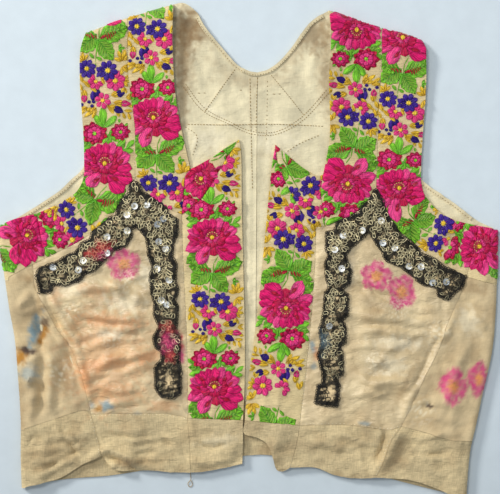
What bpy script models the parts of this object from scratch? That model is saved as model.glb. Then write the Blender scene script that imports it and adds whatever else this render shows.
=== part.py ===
"""Embroidered waistcoat, laid flat on its back with the fronts open.

Metres, +Z up. The hem points to -Y, the shoulders to +Y, and left and right are as seen from above.
The origin is the middle of the outline on the surface that the waistcoat lies on. Every seam and edge
is a short table of places in millimetres: across from the middle, then up from the middle.
"""

import math

import bmesh
import bpy
import numpy as np
from mathutils import Vector
from mathutils.geometry import delaunay_2d_cdt

# Driving dimensions, in millimetres
CLOTH = 1.5
SEAM_GAP = 0.3
BINDING = 1.0
BINDING_WIDTH = 4.0
APPLIQUE = 1.7
APPLIQUE_CROWN = 0.5
FRONT_HEIGHT = 4.2
SIDE_FOLD_RISE = 3.4
SIDE_FOLD_REACH = 24.0
SHOULDER_RISE = 3.0
SHOULDER_REACH = 34.0
NECK_ROLL_RISE = 6.0
NECK_ROLL_REACH = 20.0
NECK_ROLL_PLACE = 225.0
NECK_ROLL_LENGTH = 75.0
SHOULDER_RADIUS = 6.0
MM = 0.001

# Facets, in millimetres: their size, the longest side of an outline, how far it may cut a curve, and how
# near two places count as one. Then, as shares of a facet, the space round the rows of places along the folds
# and round the other places. Last, how far a fold's foot lies from its crest, as a share of its reach
FACET = 14.0
LONGEST_SIDE = 16.0
CHORD_ERROR = 0.35
SAME_PLACE = 0.05
ROW_SPACE = 0.16
GRID_SPACE = 0.6
FOLD_FOOT = 1.2

HALF = CLOTH / 2
BACK_TOP = CLOTH
SHOULDER_SEAT = BACK_TOP + SEAM_GAP

# Where the side folds lie, and the shoulder folds: (across, up)
SIDE_FOLDS = {
    "left": ((-247, 26), (-248.5, 11), (-244, -20), (-239, -54), (-233, -88), (-230, -122),
             (-227, -170), (-227, -205), (-226, -237)),
    "right": ((249, 21), (249, -10), (247.5, -60), (244, -100), (234, -145), (227, -178),
              (222, -200), (218, -247)),
}
SHOULDER_FOLDS = {
    "left": ((-162, 217), (-136, 227), (-105, 237), (-73, 246), (-64, 247.5), (-50, 237)),
    "right": ((80, 240), (98, 234), (133, 222), (153, 217), (172, 210), (178, 204)),
}

# Seams and edges of the two fronts, from shoulder to hem
LINES = {
    "left": {
        "shoulder_outer": ((-162, 217), (-141, 225.5), (-120, 232)),
        "shoulder_inner": ((-120, 232), (-97, 239), (-74, 245.7)),
        "strap_edge": ((-162, 217), (-167, 202), (-168, 170), (-166, 138), (-164, 107), (-163.5, 79)),
        "strap_seam": ((-120, 232), (-120, 180), (-117, 154), (-113, 123), (-112.5, 72.5)),
        "neck_edge": ((-74, 245.7), (-75, 218), (-74, 178), (-72, 154), (-68, 130), (-57.5, 81)),
        "strap_foot": ((-163.5, 79), (-112.5, 72.5)),
        "yoke_seam": ((-112.5, 72.5), (-98, 55), (-84, 44), (-66, 36)),
        "notch_seam": ((-57.5, 81), (-62.5, 75), (-64, 60), (-66, 36)),
        "lapel_edge": ((-57.5, 81), (-36, 93), (-23, 102), (-9, 111)),
        "mitre": ((-9, 111), (-24, 88), (-37, 65), (-48, 50), (-66, 36)),
        "centre_edge": ((-9, 111), (-7, 100), (-6, 40), (-4.5, -20), (-3, -91), (-3, -117),
                        (-3.6, -142), (-4.8, -169.5)),
        "centre_hem": ((-4.8, -169.5), (-5, -190), (-5.5, -213)),
        "band_seam": ((-66, 36), (-65, -5), (-61, -89), (-60, -167)),
        "band_foot": ((-60, -167), (-4.8, -169.5)),
        "band_hem_seam": ((-60, -167), (-58.5, -192), (-56.8, -221.5)),
        "band_hem": ((-56.8, -221.5), (-43, -220.5), (-24, -217), (-5.5, -213)),
        "hem_seam": ((-60, -167), (-72, -164.5), (-81, -162.7), (-157, -163.3)),
        "side_seam": ((-157, -163.3), (-165, -127), (-175, -100), (-192, -77), (-202, -57),
                      (-212, -38), (-215, -14)),
        "side_hem_seam": ((-157, -163.3), (-149, -191), (-146, -205)),
        "front_hem": ((-146, -205), (-139, -213.5), (-132, -219), (-100, -219.2), (-73, -221.5),
                      (-56.8, -221.5)),
        "armhole_seam": ((-112.5, 72.5), (-121, 60), (-131, 41), (-148, 24), (-167, 10), (-203, -8)),
        "armhole_edge": ((-163.5, 79), (-165, 70), (-171, 59), (-180, 52), (-198, 42.5), (-211, 37)),
        "band_side_seam": ((-211, 37), (-203, -8)),
        "seam_step": ((-203, -8), (-215, -14)),
        "tail_edge": ((-211, 37), (-231, 32), (-247, 26)),
        "tail_seam": ((-215, -14), (-226, -19.5), (-243.7, -30)),
        "side_hem_top": ((-157, -163.3), (-162.6, -159.5), (-195, -169), (-211, -174), (-227, -179)),
        "side_hem": ((-146, -205), (-163, -212.5), (-187, -227), (-205, -232), (-226, -237)),
    },
    "right": {
        "shoulder_outer": ((172, 210), (153, 217), (133.5, 221.8)),
        "shoulder_inner": ((133.5, 221.8), (98, 234), (80.5, 239.8)),
        "strap_edge": ((172, 210), (177, 203), (178, 188), (177.4, 154), (174, 107), (172.5, 73)),
        "strap_seam": ((133.5, 221.8), (133.5, 186), (131, 154), (129.5, 99), (128, 63.5)),
        "neck_edge": ((80.5, 239.8), (82.5, 210), (80.5, 170), (81.5, 115), (75, 76)),
        "strap_foot": ((172.5, 73), (128, 63.5)),
        "yoke_seam": ((128, 63.5), (118, 46.5), (104, 35.5), (90, 29), (77, 24)),
        "notch_seam": ((75, 76), (72.5, 59.5), (77, 24)),
        "lapel_edge": ((75, 76), (70.5, 74.5), (54.5, 83), (37, 97.5), (27, 106)),
        "mitre": ((27, 106), (30, 86.5), (45, 53), (59, 31.5), (68, 23.5)),
        "lapel_foot": ((68, 23.5), (77, 24)),
        "centre_edge": ((27, 106), (22.5, 75), (18, 27.5), (13.6, -21.5), (9, -66), (3.4, -104.5),
                        (-1.2, -142.5), (-3.2, -169.5)),
        "centre_hem": ((-3.2, -169.5), (-4.2, -182.5), (10, -187), (19, -193), (24, -204)),
        "band_seam": ((68, 23.5), (67, -11.5), (62.5, -73), (57, -129), (51.5, -174.5)),
        "band_foot": ((51.5, -174.5), (46, -174), (-3.2, -169.5)),
        "band_hem_seam": ((51.5, -174.5), (49, -191), (42, -216.8)),
        "band_hem": ((42, -216.8), (35.5, -220.5), (29, -219.5), (24, -204)),
        "hem_seam": ((51.5, -174.5), (95, -174), (122, -177), (143, -179), (153, -175.5)),
        "side_seam": ((153, -175.5), (172, -135.5), (190, -99.5), (200, -71.5), (209, -50.5),
                      (218, -26.5)),
        "side_hem_seam": ((153, -175.5), (144, -188), (134, -213), (128, -226.5)),
        "front_hem": ((128, -226.5), (108, -227.5), (86, -224), (68, -217), (42, -216.8)),
        "armhole_seam": ((128, 63.5), (138, 37.5), (151, 19.5), (172, 2.5), (188, -9), (218, -26.5)),
        "armhole_edge": ((172.5, 73), (175, 59), (182.5, 47.5), (196.5, 35), (213, 28.5), (230, 25)),
        "band_side_seam": ((230, 25), (228, 10), (218, -26.5)),
        "tail_edge": ((230, 25), (249, 21)),
        "tail_seam": ((218, -26.5), (249, -34.5)),
        "side_hem_top": ((153, -175.5), (167, -179), (193, -186.5), (205, -189.5), (223, -190.2)),
        "side_hem": ((128, -226.5), (162, -229.2), (180, -234.5), (201, -243), (218, -247)),
    },
}

# Seams and edges of the back, which lies beneath
BACK_LINES = {
    "centre_seam": ((9.5, 178), (9, 90), (8, -60), (7, -150)),
    "centre_hem": ((7, -150), (7, -204.5)),
    "left_neck": ((9.5, 178), (1, 179.5), (-11, 186), (-21, 197), (-43, 224), (-50, 237)),
    "left_shoulder": ((-50, 237), (-57, 243.5), (-65, 247.5), (-74, 246), (-105, 237), (-136, 227),
                      (-162, 217)),
    "left_armhole": ((-162, 217), (-165.5, 200), (-165, 138), (-162, 100), (-164, 83.5), (-176, 71.5),
                     (-188, 60), (-202, 50.5), (-231, 32.5), (-247, 26)),
    "left_hem_seam": ((7, -150), (-98, -160), (-227, -179)),
    "left_hem": ((7, -204.5), (-5, -205.3), (-60, -213), (-100, -219), (-138, -225), (-186, -229),
                 (-226, -237)),
    "right_neck": ((9.5, 178), (19, 180.5), (27, 185.5), (40, 198.5), (63, 229), (80.5, 239.8)),
    "right_shoulder": ((80.5, 239.8), (98, 234), (133, 222), (153, 217), (172, 210)),
    "right_armhole": ((172, 210), (175.5, 200), (174.5, 154), (171.5, 90), (172.6, 72.5), (180.5, 65),
                      (204.5, 48.5), (230, 29.5), (249, 21)),
    "right_hem_seam": ((7, -150), (100, -165), (223, -190.2)),
    "right_hem": ((7, -204.5), (15, -204.2), (60, -210), (110, -220), (165, -234), (218, -247)),
}

# Outline of the metal-thread ornament on each front, from its peak down: across, up
APPLIQUE_OUTLINES = {
    "left": (
        (-115, 69), (-110, 66.5), (-105.5, 58), (-93, 51.5), (-82, 43), (-80, 36), (-70.5, 31.5),
        (-70.5, 16.5), (-74.5, 7.5), (-75.5, -6.5), (-71.5, -14.5), (-73, -30.5), (-69.5, -39.5),
        (-73, -49.5), (-69.5, -57.5), (-72, -78.5), (-68, -87.5), (-69, -108.5), (-67, -116.5),
        (-67.5, -142.5), (-73, -146.5), (-86, -146), (-92, -137.5), (-93, -116.5), (-86.5, -109.5),
        (-86.5, -100), (-93, -96.5), (-94.5, -87), (-88.5, -75.5), (-94, -64.5), (-93, -52.5),
        (-97, -42.5), (-97.5, -25.5), (-95, -16.5), (-99, -5.5), (-101, 12.5), (-110.5, 24.5),
        (-116.5, 21.5), (-115.5, 14.5), (-122, 4.5), (-134, 0), (-143, -9.5), (-152.5, -19),
        (-163.5, -23.5), (-166.5, -29.5), (-181, -34), (-194, -34), (-197, -41.5), (-207, -42.5),
        (-211, -25.5), (-208, -17), (-190, -11.5), (-180.5, -5), (-172, -2), (-166, 6.5), (-157, 11),
        (-154, 19.5), (-147, 24), (-140, 31.5), (-131, 34.5), (-129.5, 46.5), (-123, 53.5),
        (-118.5, 56.5), (-118, 64.5),
    ),
    "right": (
        (129, 61), (134.5, 50.5), (137, 40.5), (142, 30.5), (148, 23), (151, 15.5), (158, 10.5),
        (169.5, 3), (174, -4.5), (187, -9.5), (194.5, -17), (202, -19.5), (217.5, -25.5), (212, -37),
        (199.5, -49), (189.5, -45.5), (189.5, -37), (174.5, -33.5), (164.5, -25.5), (152, -15.5),
        (138, -9.5), (133, 0), (127, 8), (121, 20.5), (113, 11.5), (102, 3), (97, -4.5), (99.5, -13.5),
        (103, -22), (101, -33.5), (94.5, -37), (94.5, -42), (99.5, -43.5), (99.5, -63.5), (93, -69.5),
        (98, -77), (97, -92), (91, -95.5), (94.5, -104.5), (94.5, -123.5), (88, -127), (91, -137),
        (89, -155.5), (67, -152.5), (69.5, -134.5), (74.5, -133.5), (74.5, -122), (69.5, -104.5),
        (73, -92), (71, -79.5), (74.5, -69.5), (76, -54.5), (77, -42), (81, -37), (78, -27), (77, -12),
        (81, -4.5), (78, 0.5), (78, 18), (87, 19.5), (88, 28), (99.5, 33), (112, 36.5), (113, 45.5),
        (122, 50.5), (124.5, 59.5),
    ),
}

# Main folds of the upper layer: from (x0, y0) to (x1, y1), then half-width and rise (a dip is negative)
FOLDS = (
    {"x0": -190, "y0": -50, "x1": -95, "y1": -75, "reach": 9, "rise": 1.8},
    {"x0": -200, "y0": -110, "x1": -110, "y1": -150, "reach": 10, "rise": 1.6},
    {"x0": -150, "y0": -20, "x1": -135, "y1": -120, "reach": 9, "rise": 1.3},
    {"x0": -122, "y0": -222, "x1": -112, "y1": -175, "reach": 9, "rise": 3.4},
    {"x0": -55, "y0": -214, "x1": -8, "y1": -194, "reach": 7, "rise": 2.6},
    {"x0": -236, "y0": -60, "x1": -190, "y1": -110, "reach": 8, "rise": 2.0},
    {"x0": -226, "y0": -120, "x1": -175, "y1": -150, "reach": 8, "rise": 1.8},
    {"x0": -210, "y0": -235, "x1": -200, "y1": -180, "reach": 8, "rise": 2.2},
    {"x0": 92, "y0": -60, "x1": 190, "y1": -85, "reach": 9, "rise": 1.7},
    {"x0": 75, "y0": -165, "x1": 150, "y1": -120, "reach": 9, "rise": 1.7},
    {"x0": 127, "y0": -224, "x1": 146, "y1": -184, "reach": 7, "rise": 3.2},
    {"x0": 180, "y0": -232, "x1": 190, "y1": -150, "reach": 9, "rise": 2.4},
    {"x0": 212, "y0": -70, "x1": 205, "y1": -215, "reach": 9, "rise": 2.4},
    {"x0": 20, "y0": -208, "x1": 34, "y1": -182, "reach": 8, "rise": 3.0},
    {"x0": -140, "y0": 215, "x1": -138, "y1": 110, "reach": 12, "rise": 1.2},
    {"x0": 150, "y0": 200, "x1": 152, "y1": 100, "reach": 12, "rise": 1.2},
    {"x0": -36, "y0": 70, "x1": -34, "y1": -160, "reach": 14, "rise": 0.9},
    {"x0": 44, "y0": 30, "x1": 28, "y1": -165, "reach": 14, "rise": 0.9},
)

# Colour (red, green, blue), roughness and metallic value of each cloth
CLOTHS = {
    "satin": ((0.66, 0.53, 0.34), 0.45, 0.0),
    "embroidered_ribbon": ((0.62, 0.10, 0.18), 0.60, 0.0),
    "hem_linen": ((0.58, 0.46, 0.29), 0.85, 0.0),
    "back_linen": ((0.74, 0.66, 0.48), 0.85, 0.0),
    "metal_thread": ((0.13, 0.11, 0.08), 0.45, 0.6),
}


def clear_scene():
    for obj in list(bpy.data.objects):
        bpy.data.objects.remove(obj)


def cloth_material(name):
    colour, roughness, metallic = CLOTHS[name]
    material = bpy.data.materials.get(name) or bpy.data.materials.new(name)
    material.use_nodes = True
    shader = material.node_tree.nodes["Principled BSDF"]
    shader.inputs["Base Color"].default_value = (*colour, 1)
    shader.inputs["Roughness"].default_value = roughness
    shader.inputs["Metallic"].default_value = metallic
    return material


def spline(places, steps=12):
    """Points of a smooth curve through the places, with chord-length knots so that it never overshoots."""
    p = [np.array(place, float) for place in places]
    if len(p) == 2:
        return np.array([p[0] + (p[1] - p[0]) * i / steps for i in range(steps + 1)])
    p = [2 * p[0] - p[1], *p, 2 * p[-1] - p[-2]]
    points = []
    for a, b, c, d in zip(p, p[1:], p[2:], p[3:]):
        ab, bc, cd = (math.sqrt(np.linalg.norm(n - m)) for m, n in ((a, b), (b, c), (c, d)))
        tangent_b = (c - b) + bc * ((b - a) / ab - (c - a) / (ab + bc))
        tangent_c = (c - b) + bc * ((d - c) / cd - (d - b) / (bc + cd))
        for i in range(steps):
            t = i / steps
            points.append(
                (2 * t**3 - 3 * t**2 + 1) * b
                + (t**3 - 2 * t**2 + t) * tangent_b
                + (3 * t**2 - 2 * t**3) * c
                + (t**3 - t**2) * tangent_c
            )
    points.append(p[-2])
    return np.array(points)


def thinned(points):
    """The fewest of the curve's points that stay within the chord error and the longest side."""
    kept = [0]
    while kept[-1] < len(points) - 1:
        start = kept[-1]
        end = start + 1
        while end + 1 < len(points):
            a, b = points[start], points[end + 1]
            length = np.linalg.norm(b - a)
            along = (b - a) / length
            off = points[start + 1 : end + 1] - a
            sag = np.abs(off[:, 0] * along[1] - off[:, 1] * along[0]).max()
            if length > LONGEST_SIDE or sag > CHORD_ERROR:
                break
            end += 1
        kept.append(end)
    return points[kept]


def line(table, *names):
    """The named lines of a table end to end as thinned curves. A name after a minus sign runs backwards."""
    points = []
    for name in names:
        curve = thinned(spline(table[name.lstrip("-")]))
        curve = curve[::-1] if name.startswith("-") else curve
        points.extend(curve[1:] if points else curve)
    return np.array(points)


def sign_of(side):
    return -1 if side == "left" else 1


FOLD_CURVES = {side: spline(places)[::-1] for side, places in SIDE_FOLDS.items()}
SHOULDER_CURVES = {side: spline(places) for side, places in SHOULDER_FOLDS.items()}
NECK_CURVES = {side: spline(LINES[side]["neck_edge"])[::-1] for side in LINES}


def side_fold_x(side, y):
    """Where the middle of the cloth turns over at the side."""
    curve = FOLD_CURVES[side]
    return np.interp(y, curve[:, 1], curve[:, 0]) - sign_of(side) * HALF


def shoulder_fold_y(side, x):
    curve = SHOULDER_CURVES[side]
    return np.interp(x, curve[:, 0], curve[:, 1]) - HALF


def fold_rise(x, y):
    """How far the main folds lift the upper layer."""
    rise = 0.0
    for fold in FOLDS:
        a = np.array((fold["x0"], fold["y0"]))
        b = np.array((fold["x1"], fold["y1"]))
        along = np.clip(np.dot((x, y) - a, b - a) / np.dot(b - a, b - a), 0, 1)
        away = np.linalg.norm((x, y) - a - along * (b - a))
        rise += fold["rise"] * math.exp(-((away / fold["reach"]) ** 2))
    return rise


def front_height(side, x, y):
    """Height of the middle of the upper layer's cloth above the surface."""
    curve = NECK_CURVES[side]
    from_side = side_fold_x(side, y) - x
    from_shoulder = max(shoulder_fold_y(side, x) - y, 0)
    from_neck = (np.interp(y, curve[:, 1], curve[:, 0]) - x) / NECK_ROLL_REACH
    down_neck = (y - NECK_ROLL_PLACE) / NECK_ROLL_LENGTH
    return (
        FRONT_HEIGHT
        + SIDE_FOLD_RISE * math.exp(-((from_side / SIDE_FOLD_REACH) ** 2))
        + SHOULDER_RISE * math.exp(-((from_shoulder / SHOULDER_REACH) ** 2))
        + NECK_ROLL_RISE * math.exp(-(from_neck**2) - down_neck**2)
        + fold_rise(x, y)
    )


def front_place(side, u, v):
    """Front cloth: flat pattern place (u, v) to its place laid down, rolled over at the shoulder."""
    begin = shoulder_fold_y(side, u) - SHOULDER_RADIUS
    height = front_height(side, u, min(v, begin))
    if v <= begin:
        return np.array((u, v, height))
    turn = min((v - begin) / SHOULDER_RADIUS, math.pi / 2)
    y = begin + SHOULDER_RADIUS * math.sin(turn)
    return np.array((u, y, height - (height - SHOULDER_SEAT) * (1 - math.cos(turn))))


def front_pattern(side, points):
    """The inverse of front_place for an outline: laid places to flat pattern places."""
    flat = []
    for x, y in points:
        begin = shoulder_fold_y(side, x) - SHOULDER_RADIUS
        if y > begin:
            y = begin + SHOULDER_RADIUS * math.asin(min((y - begin) / SHOULDER_RADIUS, 1))
        flat.append((x, y))
    return np.array(flat)


def side_roll(side, y):
    """(where the back leaves the surface to turn over, radius of the turn)"""
    edge = side_fold_x(side, y)
    radius = (front_height(side, edge, y) - HALF) / 2
    return edge - sign_of(side) * radius, radius


def back_place(u, v):
    """Back cloth: flat pattern place to its place laid down, turned over at both sides onto the upper layer."""
    side = "left" if u < 0 else "right"
    sign = sign_of(side)
    start, radius = side_roll(side, v)
    past = sign * (u - start)
    if past <= 0:
        return np.array((u, v, HALF))
    turn = past / radius
    if turn < math.pi:
        x = start + sign * radius * math.sin(turn)
        return np.array((x, v, HALF + radius * (1 - math.cos(turn))))
    x = start - sign * (past - math.pi * radius)
    blend = min((past - math.pi * radius) / (2 * radius), 1)
    return np.array((x, v, HALF + 2 * radius + blend * (front_height(side, x, v) - HALF - 2 * radius)))


def lower_pattern(points):
    """Outline places on the lower layer to flat pattern places, which stop where the side turns over."""
    flat = []
    for x, y in points:
        side = "left" if x < 0 else "right"
        start = side_roll(side, y)[0]
        flat.append((max(x, start) if side == "left" else min(x, start), y))
    return np.array(flat)


def upper_pattern(side, points):
    """Outline places on the part of the back that has turned over to flat pattern places."""
    flat = []
    for x, y in points:
        start, radius = side_roll(side, y)
        past = math.pi * radius + sign_of(side) * (start - x)
        past = max(past, math.pi * radius)
        flat.append((start + sign_of(side) * past, y))
    return np.array(flat)


def turn_line(side, y, steps=4):
    """Places between the lower and the upper layer, across the turn at one height."""
    start, radius = side_roll(side, y)
    sign = sign_of(side)
    return np.array([(start + sign * math.pi * radius * i / steps, y) for i in range(1, steps)])


def floor_line(side, y0, y1):
    """The line along which the side leaves the surface, between two heights."""
    count = max(2, round(abs(y1 - y0) / FACET))
    heights = [y0 + (y1 - y0) * i / count for i in range(1, count)]
    return np.array([(side_roll(side, y)[0], y) for y in heights])


def loop_of(*stretches):
    """One closed outline from stretches that follow each other, without doubled places."""
    points = []
    for stretch in stretches:
        for point in stretch:
            if not points or np.linalg.norm(point - points[-1]) > SAME_PLACE:
                points.append(np.array(point, float))
    if np.linalg.norm(points[0] - points[-1]) <= SAME_PLACE:
        points.pop()
    loop = np.array(points)
    after = np.roll(loop, -1, axis=0)
    area = (loop[:, 0] * after[:, 1] - after[:, 0] * loop[:, 1]).sum()
    return loop if area > 0 else loop[::-1]


def inset(loop, distance):
    """The outline moved inwards all round."""
    before = loop - np.roll(loop, 1, axis=0)
    after = np.roll(loop, -1, axis=0) - loop
    moved = []
    for point, a, b in zip(loop, before, after):
        a = a / np.linalg.norm(a)
        b = b / np.linalg.norm(b)
        inward = np.array((-a[1] - b[1], a[0] + b[0]))
        inward /= max(np.dot(inward, inward) / 2, 0.5)
        moved.append(point + distance * inward)
    return np.array(moved)


def far_from(points, candidates, distance):
    """The candidates that keep this distance to the points and to each other."""
    kept = [np.array(p) for p in points]
    chosen = []
    for candidate in candidates:
        if (np.linalg.norm(np.array(kept) - candidate, axis=1) > distance).all():
            kept.append(np.array(candidate))
            chosen.append(candidate)
    return chosen


def inside(loop, point):
    x, y = point
    after = np.roll(loop, -1, axis=0)
    crosses = (loop[:, 1] > y) != (after[:, 1] > y)
    with np.errstate(divide="ignore", invalid="ignore"):
        at = loop[:, 0] + (y - loop[:, 1]) * (after[:, 0] - loop[:, 0]) / (after[:, 1] - loop[:, 1])
    return bool((crosses & (x < at)).sum() % 2)


def fold_points():
    """Places along the crest and the feet of each main fold, so that the facets follow it."""
    points = []
    for fold in FOLDS:
        a = np.array((fold["x0"], fold["y0"]), float)
        b = np.array((fold["x1"], fold["y1"]), float)
        length = np.linalg.norm(b - a)
        across = np.array((a[1] - b[1], b[0] - a[0])) / length
        count = max(2, round(length / FACET))
        for off in (0, FOLD_FOOT * fold["reach"], -FOLD_FOOT * fold["reach"]):
            points += [a + (b - a) * i / count + off * across for i in range(count + 1)]
    return points


def lattice(low, high):
    """Triangular grid of places over a box."""
    rise = FACET * math.sqrt(3) / 2
    rows = range(math.floor(low[1] / rise), math.ceil(high[1] / rise) + 1)
    columns = range(math.floor(low[0] / FACET), math.ceil(high[0] / FACET) + 1)
    return [((column + row % 2 / 2) * FACET, row * rise) for row in rows for column in columns]


def triangles(loop, rows, within=()):
    """(places, triangles, for each triangle the numbers of the inner outlines that hold it)"""
    low, high = loop.min(axis=0), loop.max(axis=0)
    borders = [loop, *within]
    rim = np.concatenate(borders)
    near = [p for p in rows if (low <= p).all() and (p <= high).all() and inside(loop, p)]
    near = far_from(rim, near, ROW_SPACE * FACET)
    grid = [p for p in lattice(low, high) if inside(loop, p)]
    grid = far_from([*rim, *near], grid, GRID_SPACE * FACET)
    points = [*rim, *near, *grid]
    faces = []
    first = 0
    for border in borders:
        faces.append(list(range(first, first + len(border))))
        first += len(border)
    result = delaunay_2d_cdt([Vector(p) for p in points], [], faces, 1, 1e-4)
    places = np.array([tuple(v) for v in result[0]])
    chosen = [(face, set(owners)) for face, owners in zip(result[2], result[5]) if 0 in owners]
    return places, np.array([face for face, _ in chosen]), [owners for _, owners in chosen]


def normals_of(place, flat):
    """The cloth's normals at flat pattern places, from small steps either way."""
    step = 0.05
    normals = []
    for u, v in flat:
        across = place(u + step, v) - place(u - step, v)
        along = place(u, v + step) - place(u, v - step)
        normal = np.cross(across, along)
        normals.append(normal / np.linalg.norm(normal))
    return np.array(normals)


def build_wall(name, cloth, flat, faces, place, low, high, crown=0.0):
    """A closed wall between two distances from the cloth's middle. The crown raises its outer inner points."""
    used = np.unique(faces)
    number = np.full(len(flat), -1)
    number[used] = range(len(used))
    faces = number[faces]
    flat = flat[used]
    middle = np.array([place(u, v) for u, v in flat])
    normals = normals_of(place, flat)
    sides = {}
    for a, b, c in faces:
        for side in ((a, b), (b, c), (c, a)):
            sides[side] = True
    rim = [side for side in sides if side[::-1] not in sides]
    raised = np.full(len(flat), high + crown)
    raised[[end for side in rim for end in side]] = high
    count = len(flat)
    points = np.concatenate([middle + normals * raised[:, None], middle + normals * low])
    quads = [(b, a, a + count, b + count) for a, b in rim]
    mesh = bpy.data.meshes.new(name)
    shell = [tuple(face) for face in faces] + [tuple(face[::-1] + count) for face in faces]
    mesh.from_pydata((points * MM).tolist(), [], [[int(i) for i in face] for face in shell + quads])
    form = bmesh.new()
    form.from_mesh(mesh)
    bmesh.ops.triangulate(form, faces=[f for f in form.faces if len(f.verts) > 3])
    form.to_mesh(mesh)
    form.free()
    mesh.shade_smooth()
    mesh.set_sharp_from_angle(angle=math.radians(50))
    mesh.materials.append(cloth_material(cloth))
    obj = bpy.data.objects.new(name, mesh)
    bpy.context.scene.collection.objects.link(obj)
    return obj


def build_piece(name, cloth, loop, place, rows):
    flat, faces, _ = triangles(inset(loop, SEAM_GAP / 2), rows)
    build_wall(name, cloth, flat, faces, place, -HALF, HALF)


def shoulder_rows(side):
    """Rows of places across the shoulder's turn, in the flat pattern."""
    curve = SHOULDER_CURVES[side]
    rows = []
    for x in np.arange(curve[:, 0].min(), curve[:, 0].max(), 10.0):
        begin = shoulder_fold_y(side, x) - SHOULDER_RADIUS
        rows += [(x, begin + SHOULDER_RADIUS * turn) for turn in (0.0, 0.5, 1.0)]
    return [np.array(row) for row in rows]


def side_rows():
    """Rows of places round the side folds, in the flat pattern."""
    rows = []
    for side, places in SIDE_FOLDS.items():
        top, bottom = places[0][1], places[-1][1]
        for y in np.arange(bottom + FACET / 2, top, FACET):
            start = side_roll(side, y)[0]
            rows += [np.array((start, y)), *turn_line(side, y)]
            rows.append(np.array((start + (rows[-1][0] - start) * 4 / 3, y)))
    return rows


FRONT_PIECES = {
    "shoulder_band": ("embroidered_ribbon", "shoulder_outer", "strap_seam", "-strap_foot", "-strap_edge"),
    "neck_band": ("embroidered_ribbon", "shoulder_inner", "neck_edge", "notch_seam", "-yoke_seam",
                  "-strap_seam"),
    "armhole_band": ("embroidered_ribbon", "strap_foot", "armhole_seam", "-band_side_seam",
                     "-armhole_edge"),
    "front_band": ("embroidered_ribbon", "mitre", "band_seam", "band_foot", "-centre_edge"),
    "lapel_band": ("embroidered_ribbon", "lapel_edge", "mitre", "-notch_seam"),
    "front_hem": ("hem_linen", "hem_seam", "side_hem_seam", "front_hem", "-band_hem_seam"),
    "front_band_hem": ("hem_linen", "band_foot", "centre_hem", "-band_hem", "-band_hem_seam"),
}


def build_front(side):
    table = LINES[side]

    def place(u, v):
        return front_place(side, u, v)

    rows = fold_points() + shoulder_rows(side)
    for piece, (cloth, *names) in FRONT_PIECES.items():
        if piece == "lapel_band" and "lapel_foot" in table:
            names = ["lapel_edge", "mitre", "lapel_foot", "-notch_seam"]
        loop = loop_of(front_pattern(side, line(table, *names)))
        build_piece(f"{side}_{piece}", cloth, loop, place, rows)
    foot = ["lapel_foot"] if "lapel_foot" in table else []
    step = ["seam_step"] if "seam_step" in table else []
    names = ["armhole_seam", *step, "-side_seam", "-hem_seam", "-band_seam", *foot, "-yoke_seam"]
    loop = inset(loop_of(line(table, *names)), SEAM_GAP / 2)
    flat, faces, owners = triangles(loop, rows, [loop_of(APPLIQUE_OUTLINES[side])])
    build_wall(f"{side}_front_satin", "satin", flat, faces, place, -HALF, HALF)
    worked = faces[[1 in owner for owner in owners]]
    low = HALF + SEAM_GAP
    build_wall(f"{side}_applique", "metal_thread", flat, worked, place, low, low + APPLIQUE, APPLIQUE_CROWN)


def build_band_tail(side, rows):
    """The end of the armhole band beyond the side seam, which turns over the side fold."""
    table = LINES[side]
    edge = upper_pattern(side, line(table, "tail_edge"))
    seam = upper_pattern(side, line(table, "tail_seam"))
    top, bottom = edge[-1][1], seam[-1][1]
    step = [line(table, "-seam_step")] if "seam_step" in table else []
    flat_step = [upper_pattern(side, stretch) for stretch in step]
    loop = loop_of(
        edge,
        turn_line(side, top)[::-1],
        [(side_roll(side, top)[0], top)],
        floor_line(side, top, bottom),
        [(side_roll(side, bottom)[0], bottom)],
        turn_line(side, bottom),
        seam[::-1],
        *flat_step,
        upper_pattern(side, line(table, "-band_side_seam")),
    )
    build_piece(f"{side}_armhole_band_tail", "embroidered_ribbon", loop, back_place, rows)


def build_back_half(side, rows):
    """Half of the back, from the centre seam, over the side fold and on to the side seam."""
    table = LINES[side]
    top = table["tail_edge"][-1][1]
    bottom = table["tail_seam"][-1][1]
    hem = table["side_hem_top"][-1][1]
    loop = loop_of(
        lower_pattern(line(BACK_LINES, f"{side}_neck", f"{side}_shoulder", f"{side}_armhole")),
        floor_line(side, top, bottom),
        [(side_roll(side, bottom)[0], bottom)],
        turn_line(side, bottom),
        upper_pattern(side, line(table, "-tail_seam")),
        upper_pattern(side, line(table, "-side_seam", "side_hem_top")),
        turn_line(side, hem)[::-1],
        lower_pattern(line(BACK_LINES, f"-{side}_hem_seam")),
        line(BACK_LINES, "-centre_seam"),
    )
    build_piece(f"{side}_back", "back_linen", loop, back_place, rows)


def build_back_hem(rows):
    """The hem band of the whole back, which turns over both side folds."""
    stretches = []
    for side in ("left", "right"):
        table = LINES[side]
        top, bottom = table["side_hem_top"][-1][1], table["side_hem"][-1][1]
        stretches.append([
            lower_pattern(line(BACK_LINES, f"{side}_hem_seam")),
            turn_line(side, top),
            upper_pattern(side, line(table, "-side_hem_top", "side_hem_seam", "side_hem")),
            turn_line(side, bottom)[::-1],
            lower_pattern(line(BACK_LINES, f"-{side}_hem")),
        ])
    left, right = stretches
    mirrored = [stretch[::-1] for stretch in reversed(left)]
    build_piece("back_hem_band", "hem_linen", loop_of(*right, *mirrored), back_place, rows)


def strip_along(points, width):
    """A narrow strip on one side of a line: to the right of its direction if the width is positive."""
    ahead = np.gradient(points, axis=0)
    ahead /= np.linalg.norm(ahead, axis=1)[:, None]
    across = np.stack([ahead[:, 1], -ahead[:, 0]], axis=1)
    return loop_of(points, (points + across * width)[::-1])


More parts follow.
